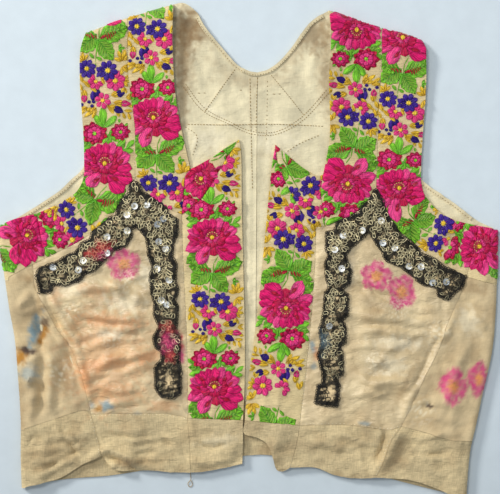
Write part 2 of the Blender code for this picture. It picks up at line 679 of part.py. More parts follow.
def build_bindings():
    """Narrow bindings sewn on the back's inner face, along the neck and the armholes."""
    neck = np.concatenate([line(BACK_LINES, "-left_neck")[1:], line(BACK_LINES, "right_neck")[1:-2]])
    lines = {"back_neck_binding": (neck, BINDING_WIDTH)}
    for side, sign in (("left", 1), ("right", -1)):
        armhole = line(BACK_LINES, f"{side}_armhole")
        reached = (armhole[:, 1] < 140) & (armhole[:, 1] > 33)
        lines[f"{side}_armhole_binding"] = (armhole[reached], -sign * BINDING_WIDTH)
    low = HALF + SEAM_GAP
    for name, (points, width) in lines.items():
        flat, faces, _ = triangles(inset(strip_along(points, width), SEAM_GAP / 2), [])
        build_wall(name, "back_linen", flat, faces, back_place, low, low + BINDING)


clear_scene()
for half in ("left", "right"):
    build_front(half)
    build_band_tail(half, side_rows())
    build_back_half(half, side_rows())
build_back_hem(side_rows())
build_bindings()
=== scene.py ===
"""Looks of the embroidered waistcoat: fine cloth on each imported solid, embroidery, metal thread and sewing.

Places are in millimetres, as in the part: across from the middle, then up from the middle. Left and right are
as seen from above. The cloth is laid by the same lines and folds as the part, on a finer mesh.
"""

import math

import bpy
import numpy as np
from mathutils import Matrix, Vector
from mathutils.geometry import delaunay_2d_cdt
from mathutils.kdtree import KDTree


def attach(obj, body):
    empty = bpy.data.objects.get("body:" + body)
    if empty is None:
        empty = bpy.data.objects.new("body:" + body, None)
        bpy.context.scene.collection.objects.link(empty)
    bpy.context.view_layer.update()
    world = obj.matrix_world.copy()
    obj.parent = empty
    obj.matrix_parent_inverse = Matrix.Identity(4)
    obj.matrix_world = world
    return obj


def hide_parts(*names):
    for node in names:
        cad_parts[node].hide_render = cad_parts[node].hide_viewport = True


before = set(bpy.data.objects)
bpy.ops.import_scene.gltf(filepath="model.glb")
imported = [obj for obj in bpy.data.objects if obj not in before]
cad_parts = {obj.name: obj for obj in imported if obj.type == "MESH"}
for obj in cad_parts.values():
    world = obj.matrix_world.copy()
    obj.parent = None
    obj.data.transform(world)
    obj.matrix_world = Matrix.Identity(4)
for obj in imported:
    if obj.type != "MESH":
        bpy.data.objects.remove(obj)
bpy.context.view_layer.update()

# Driving dimensions of the part, in millimetres
CLOTH = 1.5
SEAM_GAP = 0.3
BINDING = 1.0
BINDING_WIDTH = 4.0
FRONT_HEIGHT = 4.2
SIDE_FOLD_RISE = 3.4
SIDE_FOLD_REACH = 24.0
SHOULDER_RISE = 3.0
SHOULDER_REACH = 34.0
NECK_ROLL_RISE = 6.0
NECK_ROLL_REACH = 20.0
NECK_ROLL_PLACE = 225.0
NECK_ROLL_LENGTH = 75.0
SHOULDER_RADIUS = 6.0
MM = 0.001
# Places nearer than this count as one
SAME_PLACE = 0.05

HALF = CLOTH / 2
BACK_TOP = CLOTH
SHOULDER_SEAT = BACK_TOP + SEAM_GAP

# Where the side folds lie, and the shoulder folds: (across, up)
SIDE_FOLDS = {
    "left": ((-247, 26), (-248.5, 11), (-244, -20), (-239, -54), (-233, -88), (-230, -122),
             (-227, -170), (-227, -205), (-226, -237)),
    "right": ((249, 21), (249, -10), (247.5, -60), (244, -100), (234, -145), (227, -178),
              (222, -200), (218, -247)),
}
SHOULDER_FOLDS = {
    "left": ((-162, 217), (-136, 227), (-105, 237), (-73, 246), (-64, 247.5), (-50, 237)),
    "right": ((80, 240), (98, 234), (133, 222), (153, 217), (172, 210), (178, 204)),
}

# Seams and edges of the two fronts, from shoulder to hem
LINES = {
    "left": {
        "shoulder_outer": ((-162, 217), (-141, 225.5), (-120, 232)),
        "shoulder_inner": ((-120, 232), (-97, 239), (-74, 245.7)),
        "strap_edge": ((-162, 217), (-167, 202), (-168, 170), (-166, 138), (-164, 107), (-163.5, 79)),
        "strap_seam": ((-120, 232), (-120, 180), (-117, 154), (-113, 123), (-112.5, 72.5)),
        "neck_edge": ((-74, 245.7), (-75, 218), (-74, 178), (-72, 154), (-68, 130), (-57.5, 81)),
        "strap_foot": ((-163.5, 79), (-112.5, 72.5)),
        "yoke_seam": ((-112.5, 72.5), (-98, 55), (-84, 44), (-66, 36)),
        "notch_seam": ((-57.5, 81), (-62.5, 75), (-64, 60), (-66, 36)),
        "lapel_edge": ((-57.5, 81), (-36, 93), (-23, 102), (-9, 111)),
        "mitre": ((-9, 111), (-24, 88), (-37, 65), (-48, 50), (-66, 36)),
        "centre_edge": ((-9, 111), (-7, 100), (-6, 40), (-4.5, -20), (-3, -91), (-3, -117),
                        (-3.6, -142), (-4.8, -169.5)),
        "centre_hem": ((-4.8, -169.5), (-5, -190), (-5.5, -213)),
        "band_seam": ((-66, 36), (-65, -5), (-61, -89), (-60, -167)),
        "band_foot": ((-60, -167), (-4.8, -169.5)),
        "band_hem_seam": ((-60, -167), (-58.5, -192), (-56.8, -221.5)),
        "band_hem": ((-56.8, -221.5), (-43, -220.5), (-24, -217), (-5.5, -213)),
        "hem_seam": ((-60, -167), (-72, -164.5), (-81, -162.7), (-157, -163.3)),
        "side_seam": ((-157, -163.3), (-165, -127), (-175, -100), (-192, -77), (-202, -57),
                      (-212, -38), (-215, -14)),
        "side_hem_seam": ((-157, -163.3), (-149, -191), (-146, -205)),
        "front_hem": ((-146, -205), (-139, -213.5), (-132, -219), (-100, -219.2), (-73, -221.5),
                      (-56.8, -221.5)),
        "armhole_seam": ((-112.5, 72.5), (-121, 60), (-131, 41), (-148, 24), (-167, 10), (-203, -8)),
        "armhole_edge": ((-163.5, 79), (-165, 70), (-171, 59), (-180, 52), (-198, 42.5), (-211, 37)),
        "band_side_seam": ((-211, 37), (-203, -8)),
        "seam_step": ((-203, -8), (-215, -14)),
        "tail_edge": ((-211, 37), (-231, 32), (-247, 26)),
        "tail_seam": ((-215, -14), (-226, -19.5), (-243.7, -30)),
        "side_hem_top": ((-157, -163.3), (-162.6, -159.5), (-195, -169), (-211, -174), (-227, -179)),
        "side_hem": ((-146, -205), (-163, -212.5), (-187, -227), (-205, -232), (-226, -237)),
    },
    "right": {
        "shoulder_outer": ((172, 210), (153, 217), (133.5, 221.8)),
        "shoulder_inner": ((133.5, 221.8), (98, 234), (80.5, 239.8)),
        "strap_edge": ((172, 210), (177, 203), (178, 188), (177.4, 154), (174, 107), (172.5, 73)),
        "strap_seam": ((133.5, 221.8), (133.5, 186), (131, 154), (129.5, 99), (128, 63.5)),
        "neck_edge": ((80.5, 239.8), (82.5, 210), (80.5, 170), (81.5, 115), (75, 76)),
        "strap_foot": ((172.5, 73), (128, 63.5)),
        "yoke_seam": ((128, 63.5), (118, 46.5), (104, 35.5), (90, 29), (77, 24)),
        "notch_seam": ((75, 76), (72.5, 59.5), (77, 24)),
        "lapel_edge": ((75, 76), (70.5, 74.5), (54.5, 83), (37, 97.5), (27, 106)),
        "mitre": ((27, 106), (30, 86.5), (45, 53), (59, 31.5), (68, 23.5)),
        "lapel_foot": ((68, 23.5), (77, 24)),
        "centre_edge": ((27, 106), (22.5, 75), (18, 27.5), (13.6, -21.5), (9, -66), (3.4, -104.5),
                        (-1.2, -142.5), (-3.2, -169.5)),
        "centre_hem": ((-3.2, -169.5), (-4.2, -182.5), (10, -187), (19, -193), (24, -204)),
        "band_seam": ((68, 23.5), (67, -11.5), (62.5, -73), (57, -129), (51.5, -174.5)),
        "band_foot": ((51.5, -174.5), (46, -174), (-3.2, -169.5)),
        "band_hem_seam": ((51.5, -174.5), (49, -191), (42, -216.8)),
        "band_hem": ((42, -216.8), (35.5, -220.5), (29, -219.5), (24, -204)),
        "hem_seam": ((51.5, -174.5), (95, -174), (122, -177), (143, -179), (153, -175.5)),
        "side_seam": ((153, -175.5), (172, -135.5), (190, -99.5), (200, -71.5), (209, -50.5),
                      (218, -26.5)),
        "side_hem_seam": ((153, -175.5), (144, -188), (134, -213), (128, -226.5)),
        "front_hem": ((128, -226.5), (108, -227.5), (86, -224), (68, -217), (42, -216.8)),
        "armhole_seam": ((128, 63.5), (138, 37.5), (151, 19.5), (172, 2.5), (188, -9), (218, -26.5)),
        "armhole_edge": ((172.5, 73), (175, 59), (182.5, 47.5), (196.5, 35), (213, 28.5), (230, 25)),
        "band_side_seam": ((230, 25), (228, 10), (218, -26.5)),
        "tail_edge": ((230, 25), (249, 21)),
        "tail_seam": ((218, -26.5), (249, -34.5)),
        "side_hem_top": ((153, -175.5), (167, -179), (193, -186.5), (205, -189.5), (223, -190.2)),
        "side_hem": ((128, -226.5), (162, -229.2), (180, -234.5), (201, -243), (218, -247)),
    },
}

# Seams and edges of the back, which lies beneath
BACK_LINES = {
    "centre_seam": ((9.5, 178), (9, 90), (8, -60), (7, -150)),
    "centre_hem": ((7, -150), (7, -204.5)),
    "left_neck": ((9.5, 178), (1, 179.5), (-11, 186), (-21, 197), (-43, 224), (-50, 237)),
    "left_shoulder": ((-50, 237), (-57, 243.5), (-65, 247.5), (-74, 246), (-105, 237), (-136, 227),
                      (-162, 217)),
    "left_armhole": ((-162, 217), (-165.5, 200), (-165, 138), (-162, 100), (-164, 83.5), (-176, 71.5),
                     (-188, 60), (-202, 50.5), (-231, 32.5), (-247, 26)),
    "left_hem_seam": ((7, -150), (-98, -160), (-227, -179)),
    "left_hem": ((7, -204.5), (-5, -205.3), (-60, -213), (-100, -219), (-138, -225), (-186, -229),
                 (-226, -237)),
    "right_neck": ((9.5, 178), (19, 180.5), (27, 185.5), (40, 198.5), (63, 229), (80.5, 239.8)),
    "right_shoulder": ((80.5, 239.8), (98, 234), (133, 222), (153, 217), (172, 210)),
    "right_armhole": ((172, 210), (175.5, 200), (174.5, 154), (171.5, 90), (172.6, 72.5), (180.5, 65),
                      (204.5, 48.5), (230, 29.5), (249, 21)),
    "right_hem_seam": ((7, -150), (100, -165), (223, -190.2)),
    "right_hem": ((7, -204.5), (15, -204.2), (60, -210), (110, -220), (165, -234), (218, -247)),
}

# Outline of the metal-thread ornament on each front, from its peak down: across, up
APPLIQUE_OUTLINES = {
    "left": (
        (-115, 69), (-110, 66.5), (-105.5, 58), (-93, 51.5), (-82, 43), (-80, 36), (-70.5, 31.5),
        (-70.5, 16.5), (-74.5, 7.5), (-75.5, -6.5), (-71.5, -14.5), (-73, -30.5), (-69.5, -39.5),
        (-73, -49.5), (-69.5, -57.5), (-72, -78.5), (-68, -87.5), (-69, -108.5), (-67, -116.5),
        (-67.5, -142.5), (-73, -146.5), (-86, -146), (-92, -137.5), (-93, -116.5), (-86.5, -109.5),
        (-86.5, -100), (-93, -96.5), (-94.5, -87), (-88.5, -75.5), (-94, -64.5), (-93, -52.5),
        (-97, -42.5), (-97.5, -25.5), (-95, -16.5), (-99, -5.5), (-101, 12.5), (-110.5, 24.5),
        (-116.5, 21.5), (-115.5, 14.5), (-122, 4.5), (-134, 0), (-143, -9.5), (-152.5, -19),
        (-163.5, -23.5), (-166.5, -29.5), (-181, -34), (-194, -34), (-197, -41.5), (-207, -42.5),
        (-211, -25.5), (-208, -17), (-190, -11.5), (-180.5, -5), (-172, -2), (-166, 6.5), (-157, 11),
        (-154, 19.5), (-147, 24), (-140, 31.5), (-131, 34.5), (-129.5, 46.5), (-123, 53.5),
        (-118.5, 56.5), (-118, 64.5),
    ),
    "right": (
        (129, 61), (134.5, 50.5), (137, 40.5), (142, 30.5), (148, 23), (151, 15.5), (158, 10.5),
        (169.5, 3), (174, -4.5), (187, -9.5), (194.5, -17), (202, -19.5), (217.5, -25.5), (212, -37),
        (199.5, -49), (189.5, -45.5), (189.5, -37), (174.5, -33.5), (164.5, -25.5), (152, -15.5),
        (138, -9.5), (133, 0), (127, 8), (121, 20.5), (113, 11.5), (102, 3), (97, -4.5), (99.5, -13.5),
        (103, -22), (101, -33.5), (94.5, -37), (94.5, -42), (99.5, -43.5), (99.5, -63.5), (93, -69.5),
        (98, -77), (97, -92), (91, -95.5), (94.5, -104.5), (94.5, -123.5), (88, -127), (91, -137),
        (89, -155.5), (67, -152.5), (69.5, -134.5), (74.5, -133.5), (74.5, -122), (69.5, -104.5),
        (73, -92), (71, -79.5), (74.5, -69.5), (76, -54.5), (77, -42), (81, -37), (78, -27), (77, -12),
        (81, -4.5), (78, 0.5), (78, 18), (87, 19.5), (88, 28), (99.5, 33), (112, 36.5), (113, 45.5),
        (122, 50.5), (124.5, 59.5),
    ),
}

# Main folds of the upper layer: from (x0, y0) to (x1, y1), then half-width and rise (a dip is negative)
FOLDS = (
    {"x0": -190, "y0": -50, "x1": -95, "y1": -75, "reach": 9, "rise": 1.8},
    {"x0": -200, "y0": -110, "x1": -110, "y1": -150, "reach": 10, "rise": 1.6},
    {"x0": -150, "y0": -20, "x1": -135, "y1": -120, "reach": 9, "rise": 1.3},
    {"x0": -122, "y0": -222, "x1": -112, "y1": -175, "reach": 9, "rise": 3.4},
    {"x0": -55, "y0": -214, "x1": -8, "y1": -194, "reach": 7, "rise": 2.6},
    {"x0": -236, "y0": -60, "x1": -190, "y1": -110, "reach": 8, "rise": 2.0},
    {"x0": -226, "y0": -120, "x1": -175, "y1": -150, "reach": 8, "rise": 1.8},
    {"x0": -210, "y0": -235, "x1": -200, "y1": -180, "reach": 8, "rise": 2.2},
    {"x0": 92, "y0": -60, "x1": 190, "y1": -85, "reach": 9, "rise": 1.7},
    {"x0": 75, "y0": -165, "x1": 150, "y1": -120, "reach": 9, "rise": 1.7},
    {"x0": 127, "y0": -224, "x1": 146, "y1": -184, "reach": 7, "rise": 3.2},
    {"x0": 180, "y0": -232, "x1": 190, "y1": -150, "reach": 9, "rise": 2.4},
    {"x0": 212, "y0": -70, "x1": 205, "y1": -215, "reach": 9, "rise": 2.4},
    {"x0": 20, "y0": -208, "x1": 34, "y1": -182, "reach": 8, "rise": 3.0},
    {"x0": -140, "y0": 215, "x1": -138, "y1": 110, "reach": 12, "rise": 1.2},
    {"x0": 150, "y0": 200, "x1": 152, "y1": 100, "reach": 12, "rise": 1.2},
    {"x0": -36, "y0": 70, "x1": -34, "y1": -160, "reach": 14, "rise": 0.9},
    {"x0": 44, "y0": 30, "x1": 28, "y1": -165, "reach": 14, "rise": 0.9},
)

# Creases of the upper layer: rise, half-width, places along the crest
UPPER_CREASES = (
    (1.5, 4.5, ((-192, -47), (-160, -37), (-130, -36), (-100, -54))),
    (-0.5, 3.5, ((-172, -60), (-140, -57), (-112, -44))),
    (1.2, 3.5, ((-169, -72), (-130, -78), (-103, -79))),
    (-0.6, 3.0, ((-150, -84), (-128, -86), (-104, -84))),
    (1.0, 4.0, ((-176, -91), (-155, -82), (-140, -80))),
    (1.3, 4.0, ((-159, -118), (-140, -109), (-117, -107), (-93, -97))),
    (1.1, 3.5, ((-165, -126), (-130, -122), (-97, -112))),
    (1.0, 4.0, ((-154, -131), (-127, -141), (-97, -136))),
    (0.9, 4.0, ((-147, -155), (-120, -150), (-97, -150))),
    (0.8, 3.0, ((-135, -25), (-122, -60), (-117, -72))),
    (0.9, 3.5, ((-120, -20), (-104, -35), (-97, -50))),
    (0.8, 3.0, ((-186, -46), (-170, -50), (-160, -62))),
    (1.6, 3.5, ((-217, -18), (-206, -48), (-194, -76), (-174, -102), (-162, -132), (-156, -160))),
    (-0.5, 3.0, ((-222, -30), (-212, -52), (-200, -76), (-182, -100), (-170, -128))),
    (1.8, 4.0, ((-232, -62), (-222, -48), (-214, -40))),
    (1.6, 4.0, ((-225, -112), (-212, -106), (-200, -104))),
    (1.5, 4.0, ((-224, -131), (-212, -127), (-200, -131))),
    (1.2, 4.0, ((-224, -150), (-212, -146), (-198, -142))),
    (1.4, 3.5, ((-206, -108), (-201, -130), (-199, -150), (-194, -164))),
    (1.3, 4.0, ((-192, -168), (-188, -182), (-172, -192))),
    (1.2, 4.0, ((-166, -212), (-145, -204), (-132, -207))),
    (0.8, 3.0, ((-222, -190), (-190, -186), (-160, -187))),
    (0.7, 2.8, ((-222, -201), (-190, -197), (-158, -199))),
    (0.7, 2.8, ((-218, -212), (-192, -209), (-168, -212))),
    (0.6, 2.6, ((-150, -180), (-115, -183), (-80, -180))),
    (0.6, 2.6, ((-146, -194), (-112, -198), (-72, -195))),
    (1.1, 3.5, ((-118, -212), (-104, -206), (-84, -209))),
    (0.8, 3.0, ((-104, -214), (-88, -200), (-66, -196))),
    (0.9, 3.0, ((-54, -186), (-30, -190), (-8, -187))),
    (1.3, 4.0, ((103, -81), (130, -79), (160, -84), (184, -81))),
    (1.1, 3.5, ((100, -97), (123, -95), (140, -98), (163, -92))),
    (0.9, 3.0, ((118, -106), (130, -112), (141, -117))),
    (0.9, 3.0, ((126, -119), (131, -111), (139, -103))),
    (0.8, 3.0, ((113, -113), (130, -111), (147, -112))),
    (1.2, 4.0, ((101, -123), (123, -131), (153, -129), (167, -126))),
    (0.8, 3.0, ((104, -145), (124, -142), (140, -147))),
    (1.5, 3.5, ((212, -50), (196, -84), (187, -101), (178, -124), (160, -150), (154, -176))),
    (-0.5, 3.0, ((207, -60), (189, -90), (172, -126), (155, -155))),
    (1.0, 3.0, ((184, -74), (192, -84), (200, -92))),
    (0.9, 3.0, ((182, -86), (192, -84), (206, -80))),
    (1.3, 4.0, ((220, -62), (232, -72), (242, -82))),
    (1.1, 4.0, ((208, -96), (222, -104), (236, -116))),
    (1.2, 4.0, ((196, -112), (206, -128), (222, -140))),
    (0.9, 3.5, ((176, -146), (192, -152), (214, -158))),
    (1.0, 3.5, ((168, -160), (186, -166), (210, -172))),
    (0.8, 3.0, ((160, -154), (172, -152), (182, -146))),
    (1.4, 4.5, ((133, -219), (142, -200), (149, -184), (163, -180))),
    (-0.7, 4.5, ((124, -214), (133, -196), (140, -184))),
    (1.2, 4.0, ((58, -188), (82, -194), (98, -198))),
    (-0.6, 4.0, ((60, -196), (84, -202), (104, -205))),
    (0.7, 3.0, ((66, -206), (88, -212), (110, -214))),
    (0.8, 3.0, ((158, -198), (180, -206), (206, -212))),
    (0.7, 3.0, ((156, -212), (178, -218), (208, -228))),
    (1.0, 3.0, ((100, -24), (118, -34), (128, -52))),
    (0.9, 3.5, ((150, -56), (170, -60), (192, -58))),
    (1.3, 5.0, ((-148, -25), (-123, -41), (-98, -57))),
    (1.1, 4.5, ((-178, -61), (-151, -65), (-121, -69), (-93, -62))),
    (-0.9, 4.0, ((-176, -68), (-150, -73), (-118, -76))),
    (1.2, 4.5, ((-173, -104), (-133, -86), (-103, -90))),
    (1.1, 4.5, ((-163, -127), (-143, -114), (-123, -101), (-93, -97))),
    (-0.8, 4.5, ((-158, -134), (-138, -122), (-110, -110))),
    (1.6, 4.0, ((-200, -36), (-190, -62), (-172, -92), (-162, -118))),
    (-2.2, 5.2, ((-213, -50), (-207, -78), (-204, -108), (-205, -138), (-208, -166))),
    (2.2, 5.4, ((-203, -92), (-196, -118), (-197, -146), (-199, -170))),
    (1.8, 5.4, ((-206, -92), (-192, -94), (-178, -88))),
    (-1.8, 4.8, ((-204, -48), (-190, -72), (-176, -104), (-166, -142))),
    (1.8, 5.2, ((-226, -140), (-216, -124), (-210, -100))),
    (1.6, 5.2, ((-226, -176), (-216, -158), (-212, -135))),
    (-1.6, 3.0, ((-226, -200), (-214, -186), (-200, -190))),
    (1.6, 3.2, ((-198, -176), (-184, -182), (-170, -196), (-160, -206))),
    (-1.8, 3.2, ((-192, -172), (-178, -190), (-168, -208))),
    (2.2, 3.2, ((-164, -208), (-140, -198), (-118, -206), (-100, -218))),
    (-2.0, 3.0, ((-158, -202), (-138, -206), (-120, -214), (-104, -224))),
    (1.4, 3.0, ((-150, -176), (-120, -180), (-90, -176))),
    (1.2, 2.6, ((-140, -188), (-112, -190), (-84, -186), (-60, -188))),
    (-1.2, 2.8, ((-60, -190), (-38, -198), (-20, -194))),
    (1.4, 3.0, ((-66, -208), (-40, -212), (-12, -206))),
    (1.6, 3.2, ((84, -176), (110, -190), (140, -196))),
    (-1.6, 3.0, ((138, -178), (134, -196), (128, -214))),
    (1.4, 3.0, ((148, -182), (170, -188), (196, -182), (214, -184))),
    (-1.2, 3.0, ((156, -200), (180, -204), (206, -200))),
    (-1.2, 5.0, ((104, -30), (128, -45), (150, -46))),
    (1.3, 5.5, ((100, -66), (134, -66), (170, -72), (196, -68))),
    (-1.0, 4.5, ((112, -72), (140, -74), (176, -78))),
    (1.2, 5.0, ((112, -140), (140, -132), (170, -138))),
    (-1.0, 5.0, ((196, -70), (188, -96), (172, -128), (160, -158))),
    (1.4, 5.0, ((222, -86), (210, -112), (198, -148), (192, -170))),
    (1.2, 3.0, ((-212, -228), (-180, -210), (-160, -198))),
    (-1.0, 3.0, ((-208, -222), (-176, -204), (-156, -192))),
    (1.0, 3.0, ((-150, -222), (-130, -212), (-100, -216), (-72, -214))),
)

# Creases of the lower layer, the back's lining
LOWER_CREASES = (
    (0.7, 1.6, ((10, 172), (9.6, 90), (8.5, 0), (7.5, -140))),
    (0.5, 2.0, ((1.5, 168), (2, 90), (1.5, 0), (0.5, -130))),
    (0.6, 2.2, ((20, 168), (21, 100), (20.5, 40), (19, -60))),
    (0.7, 1.8, ((-13, 180), (-28, 160), (-44, 138))),
    (0.7, 1.8, ((22, 176), (40, 155), (57, 134))),
    (0.8, 1.8, ((-61, 126), (-20, 125.5), (30, 126), (77, 124))),
    (0.9, 2.6, ((-64, 124), (-51, 114), (-56, 92))),
    (0.8, 2.4, ((72, 116), (50, 106), (37, 97))),
    (0.8, 2.6, ((66, 92), (71, 79))),
    (1.1, 4.0, ((-66, 205), (-52, 180), (-44, 150))),
    (0.9, 4.0, ((-40, 214), (-32, 196), (-30, 178))),
    (0.9, 4.0, ((70, 208), (62, 180), (64, 150))),
    (0.8, 4.0, ((48, 200), (44, 184), (46, 170))),
    (0.7, 3.0, ((2, 150), (-16, 140), (-40, 136))),
    (0.6, 3.0, ((26, 148), (40, 142), (66, 144))),
    (0.8, 3.0, ((16, 60), (14, 0), (12, -70))),
)

# Crumpling: height in millimetres, the usual size of its dents and the chance's seed. Soft dents first, then
# sharp ridges, which run mostly across
DENTS = ((0.8, 38.0, 3), (0.34, 15.0, 5), (0.07, 6.0, 8))
RIDGES = ((1.5, 46.0, 21), (0.7, 24.0, 22), (0.14, 9.0, 23))
RIDGE_LENGTH = 1.8
# The embroidered straps, above this height, crumple less
STIFF_ABOVE = 50.0
BAND_CRUMPLE = 0.45
FLAT_LAYER_CRUMPLE = 0.4
CREASE_GAIN = 2.3
LOWER_CREASE_GAIN = 1.3
# Seams lie in shallow grooves: their lines, depth and half-width
SEAM_GROOVES = ("yoke_seam", "armhole_seam", "band_seam", "hem_seam", "strap_seam", "side_seam", "notch_seam",
                "side_hem_seam", "band_side_seam", "mitre")
GROOVE = 0.7
GROOVE_REACH = 1.8


def spline(places, steps=12):
    """Points of a smooth curve through the places, with chord-length knots so that it never overshoots."""
    p = [np.array(place, float) for place in places]
    if len(p) == 2:
        return np.array([p[0] + (p[1] - p[0]) * i / steps for i in range(steps + 1)])
    p = [2 * p[0] - p[1], *p, 2 * p[-1] - p[-2]]
    points = []
    for a, b, c, d in zip(p, p[1:], p[2:], p[3:]):
        ab, bc, cd = (math.sqrt(np.linalg.norm(n - m)) for m, n in ((a, b), (b, c), (c, d)))
        tangent_b = (c - b) + bc * ((b - a) / ab - (c - a) / (ab + bc))
        tangent_c = (c - b) + bc * ((d - c) / cd - (d - b) / (bc + cd))
        for i in range(steps):
            t = i / steps
            points.append(
                (2 * t**3 - 3 * t**2 + 1) * b
                + (t**3 - 2 * t**2 + t) * tangent_b
                + (3 * t**2 - 2 * t**3) * c
                + (t**3 - t**2) * tangent_c
            )
    points.append(p[-2])
    return np.array(points)


def lengths_of(points):
    return np.concatenate([[0], np.cumsum(np.linalg.norm(np.diff(points, axis=0), axis=1))])


def spaced(points, step):
    """The same line with even steps."""
    lengths = lengths_of(points)
    at = np.linspace(0, lengths[-1], max(2, round(lengths[-1] / step) + 1))
    return np.stack([np.interp(at, lengths, points[:, k]) for k in range(points.shape[1])], axis=1)


def line(table, *names, step=2.5):
    """The named lines of a table end to end. A name after a minus sign runs backwards."""
    points = []
    for name in names:
        curve = spaced(spline(table[name.lstrip("-")]), step)
        points.extend((curve[::-1] if name.startswith("-") else curve)[bool(points) :])
    return np.array(points)


FOLD_CURVES = {side: spline(places)[::-1] for side, places in SIDE_FOLDS.items()}
SHOULDER_CURVES = {side: spline(places) for side, places in SHOULDER_FOLDS.items()}
NECK_CURVES = {side: spline(LINES[side]["neck_edge"])[::-1] for side in LINES}
SIGNS = {"left": -1, "right": 1}


def nearest_on(places, x, y):
    """(distance to a line of places, share of the way along it)"""
    points = np.array(places, float)
    lengths = lengths_of(points)
    best = np.full(np.shape(x), np.inf)
    share = np.zeros(np.shape(x))
    for a, b, start in zip(points, points[1:], lengths):
        along = b - a
        t = np.clip(((x - a[0]) * along[0] + (y - a[1]) * along[1]) / (along @ along), 0, 1)
        away = np.hypot(x - a[0] - t * along[0], y - a[1] - t * along[1])
        closer = away < best
        best = np.where(closer, away, best)
        share = np.where(closer, (start + t * np.linalg.norm(along)) / lengths[-1], share)
    return best, share


def creases(table, x, y):
    total = np.zeros(np.shape(x))
    for rise, reach, places in table:
        away, share = nearest_on(places, x, y)
        ends = np.clip(4 * share, 0, 1) * np.clip(4 * (1 - share), 0, 1)
        total += rise * ends * np.exp(-((away / reach) ** 2))
    return total


def ripple(x, y, size, seed):
    """A smooth uneven field, about -1 to 1, with dents of about this size."""
    chance = np.random.default_rng(seed)
    total = np.zeros(np.shape(x))
    waves = 9
    for _ in range(waves):
        angle = chance.uniform(0, 2 * math.pi)
        pace = 2 * math.pi / size * chance.uniform(0.55, 1.3)
        total += np.sin(pace * (x * math.cos(angle) + y * math.sin(angle)) + chance.uniform(0, 2 * math.pi))
    return total / math.sqrt(waves) / 1.3


def crumple(x, y):
    rise = sum(height * ripple(x, y, size, seed) for height, size, seed in DENTS)
    for height, size, seed in RIDGES:
        bent = 0.35 * size * ripple(x, y, 2.2 * size, seed + 10)
        ridge = np.abs(ripple(x / RIDGE_LENGTH + bent, y + bent, size, seed))
        rise = rise + height * np.clip(1 - 1.6 * ridge, 0, 1) ** 1.6
    return rise


def side_fold_x(side, y):
    """Where the middle of the cloth turns over at the side."""
    curve = FOLD_CURVES[side]
    return np.interp(y, curve[:, 1], curve[:, 0]) - SIGNS[side] * HALF


def shoulder_fold_y(side, x):
    curve = SHOULDER_CURVES[side]
    return np.interp(x, curve[:, 0], curve[:, 1]) - HALF


def fold_rise(x, y):
    """How far the main folds lift the upper layer."""
    rise = np.zeros(np.shape(x))
    for fold in FOLDS:
        places = ((fold["x0"], fold["y0"]), (fold["x1"], fold["y1"]))
        away = nearest_on(places, x, y)[0]
        rise += fold["rise"] * np.exp(-((away / fold["reach"]) ** 2))
    return rise


def front_height(side, x, y):
    """Height of the middle of the upper layer's cloth above the surface, as in the part."""
    curve = NECK_CURVES[side]
    from_side = (side_fold_x(side, y) - x) / SIDE_FOLD_REACH
    from_shoulder = np.maximum(shoulder_fold_y(side, x) - y, 0) / SHOULDER_REACH
    from_neck = (np.interp(y, curve[:, 1], curve[:, 0]) - x) / NECK_ROLL_REACH
    down_neck = (y - NECK_ROLL_PLACE) / NECK_ROLL_LENGTH
    return (
        FRONT_HEIGHT
        + SIDE_FOLD_RISE * np.exp(-(from_side**2))
        + SHOULDER_RISE * np.exp(-(from_shoulder**2))
        + NECK_ROLL_RISE * np.exp(-(from_neck**2) - down_neck**2)
        + fold_rise(x, y)
    )


def upper_relief(side, x, y):
    """Creases and crumpling of the upper layer, fading out where the cloth turns at its side."""
    away = np.abs(side_fold_x(side, y) - x)
    grooves = sum(
        np.exp(-((nearest_on(LINES[side][name], x, y)[0] / GROOVE_REACH) ** 2))
        for name in SEAM_GROOVES if name in LINES[side]
    )
    stiff = np.where(y > STIFF_ABOVE, BAND_CRUMPLE, 1.0)
    own = CREASE_GAIN * creases(UPPER_CREASES, x, y) + stiff * crumple(x, y) - GROOVE * np.minimum(grooves, 1)
    return own * np.clip(away / 10, 0, 1)


def lower_relief(x, y):
    rise = LOWER_CREASE_GAIN * creases(LOWER_CREASES, x, y) + FLAT_LAYER_CRUMPLE * (1 + crumple(x, y))
    return np.clip(rise, 0, None) * np.clip((y + 150) / 30, 0, 1)


def front_place(side, flat):
    """Front cloth: flat pattern places to their places laid down, rolled over at the shoulder."""
    u, v = flat[:, 0], flat[:, 1]
    begin = shoulder_fold_y(side, u) - SHOULDER_RADIUS
    before = np.minimum(v, begin)
    height = front_height(side, u, before)
    relief = upper_relief(side, u, before) * np.clip((begin + 3 - v) / 8, 0, 1)
    turn = np.clip((v - begin) / SHOULDER_RADIUS, 0, math.pi / 2)
    y = np.where(v <= begin, v, begin + SHOULDER_RADIUS * np.sin(turn))
    z = height - (height - SHOULDER_SEAT) * (1 - np.cos(turn)) + relief
    return np.stack([u, y, z], axis=1)


def front_pattern(side, points):
    """The inverse of front_place for an outline: laid places to flat pattern places."""
    begin = shoulder_fold_y(side, points[:, 0]) - SHOULDER_RADIUS
    past = np.clip((points[:, 1] - begin) / SHOULDER_RADIUS, 0, 1)
    y = np.where(points[:, 1] > begin, begin + SHOULDER_RADIUS * np.arcsin(past), points[:, 1])
    return np.stack([points[:, 0], y], axis=1)


def side_roll(side, y):
    """(where the back leaves the surface to turn over, radius of the turn)"""
    edge = side_fold_x(side, y)
    radius = (front_height(side, edge, y) - HALF) / 2
    return edge - SIGNS[side] * radius, radius


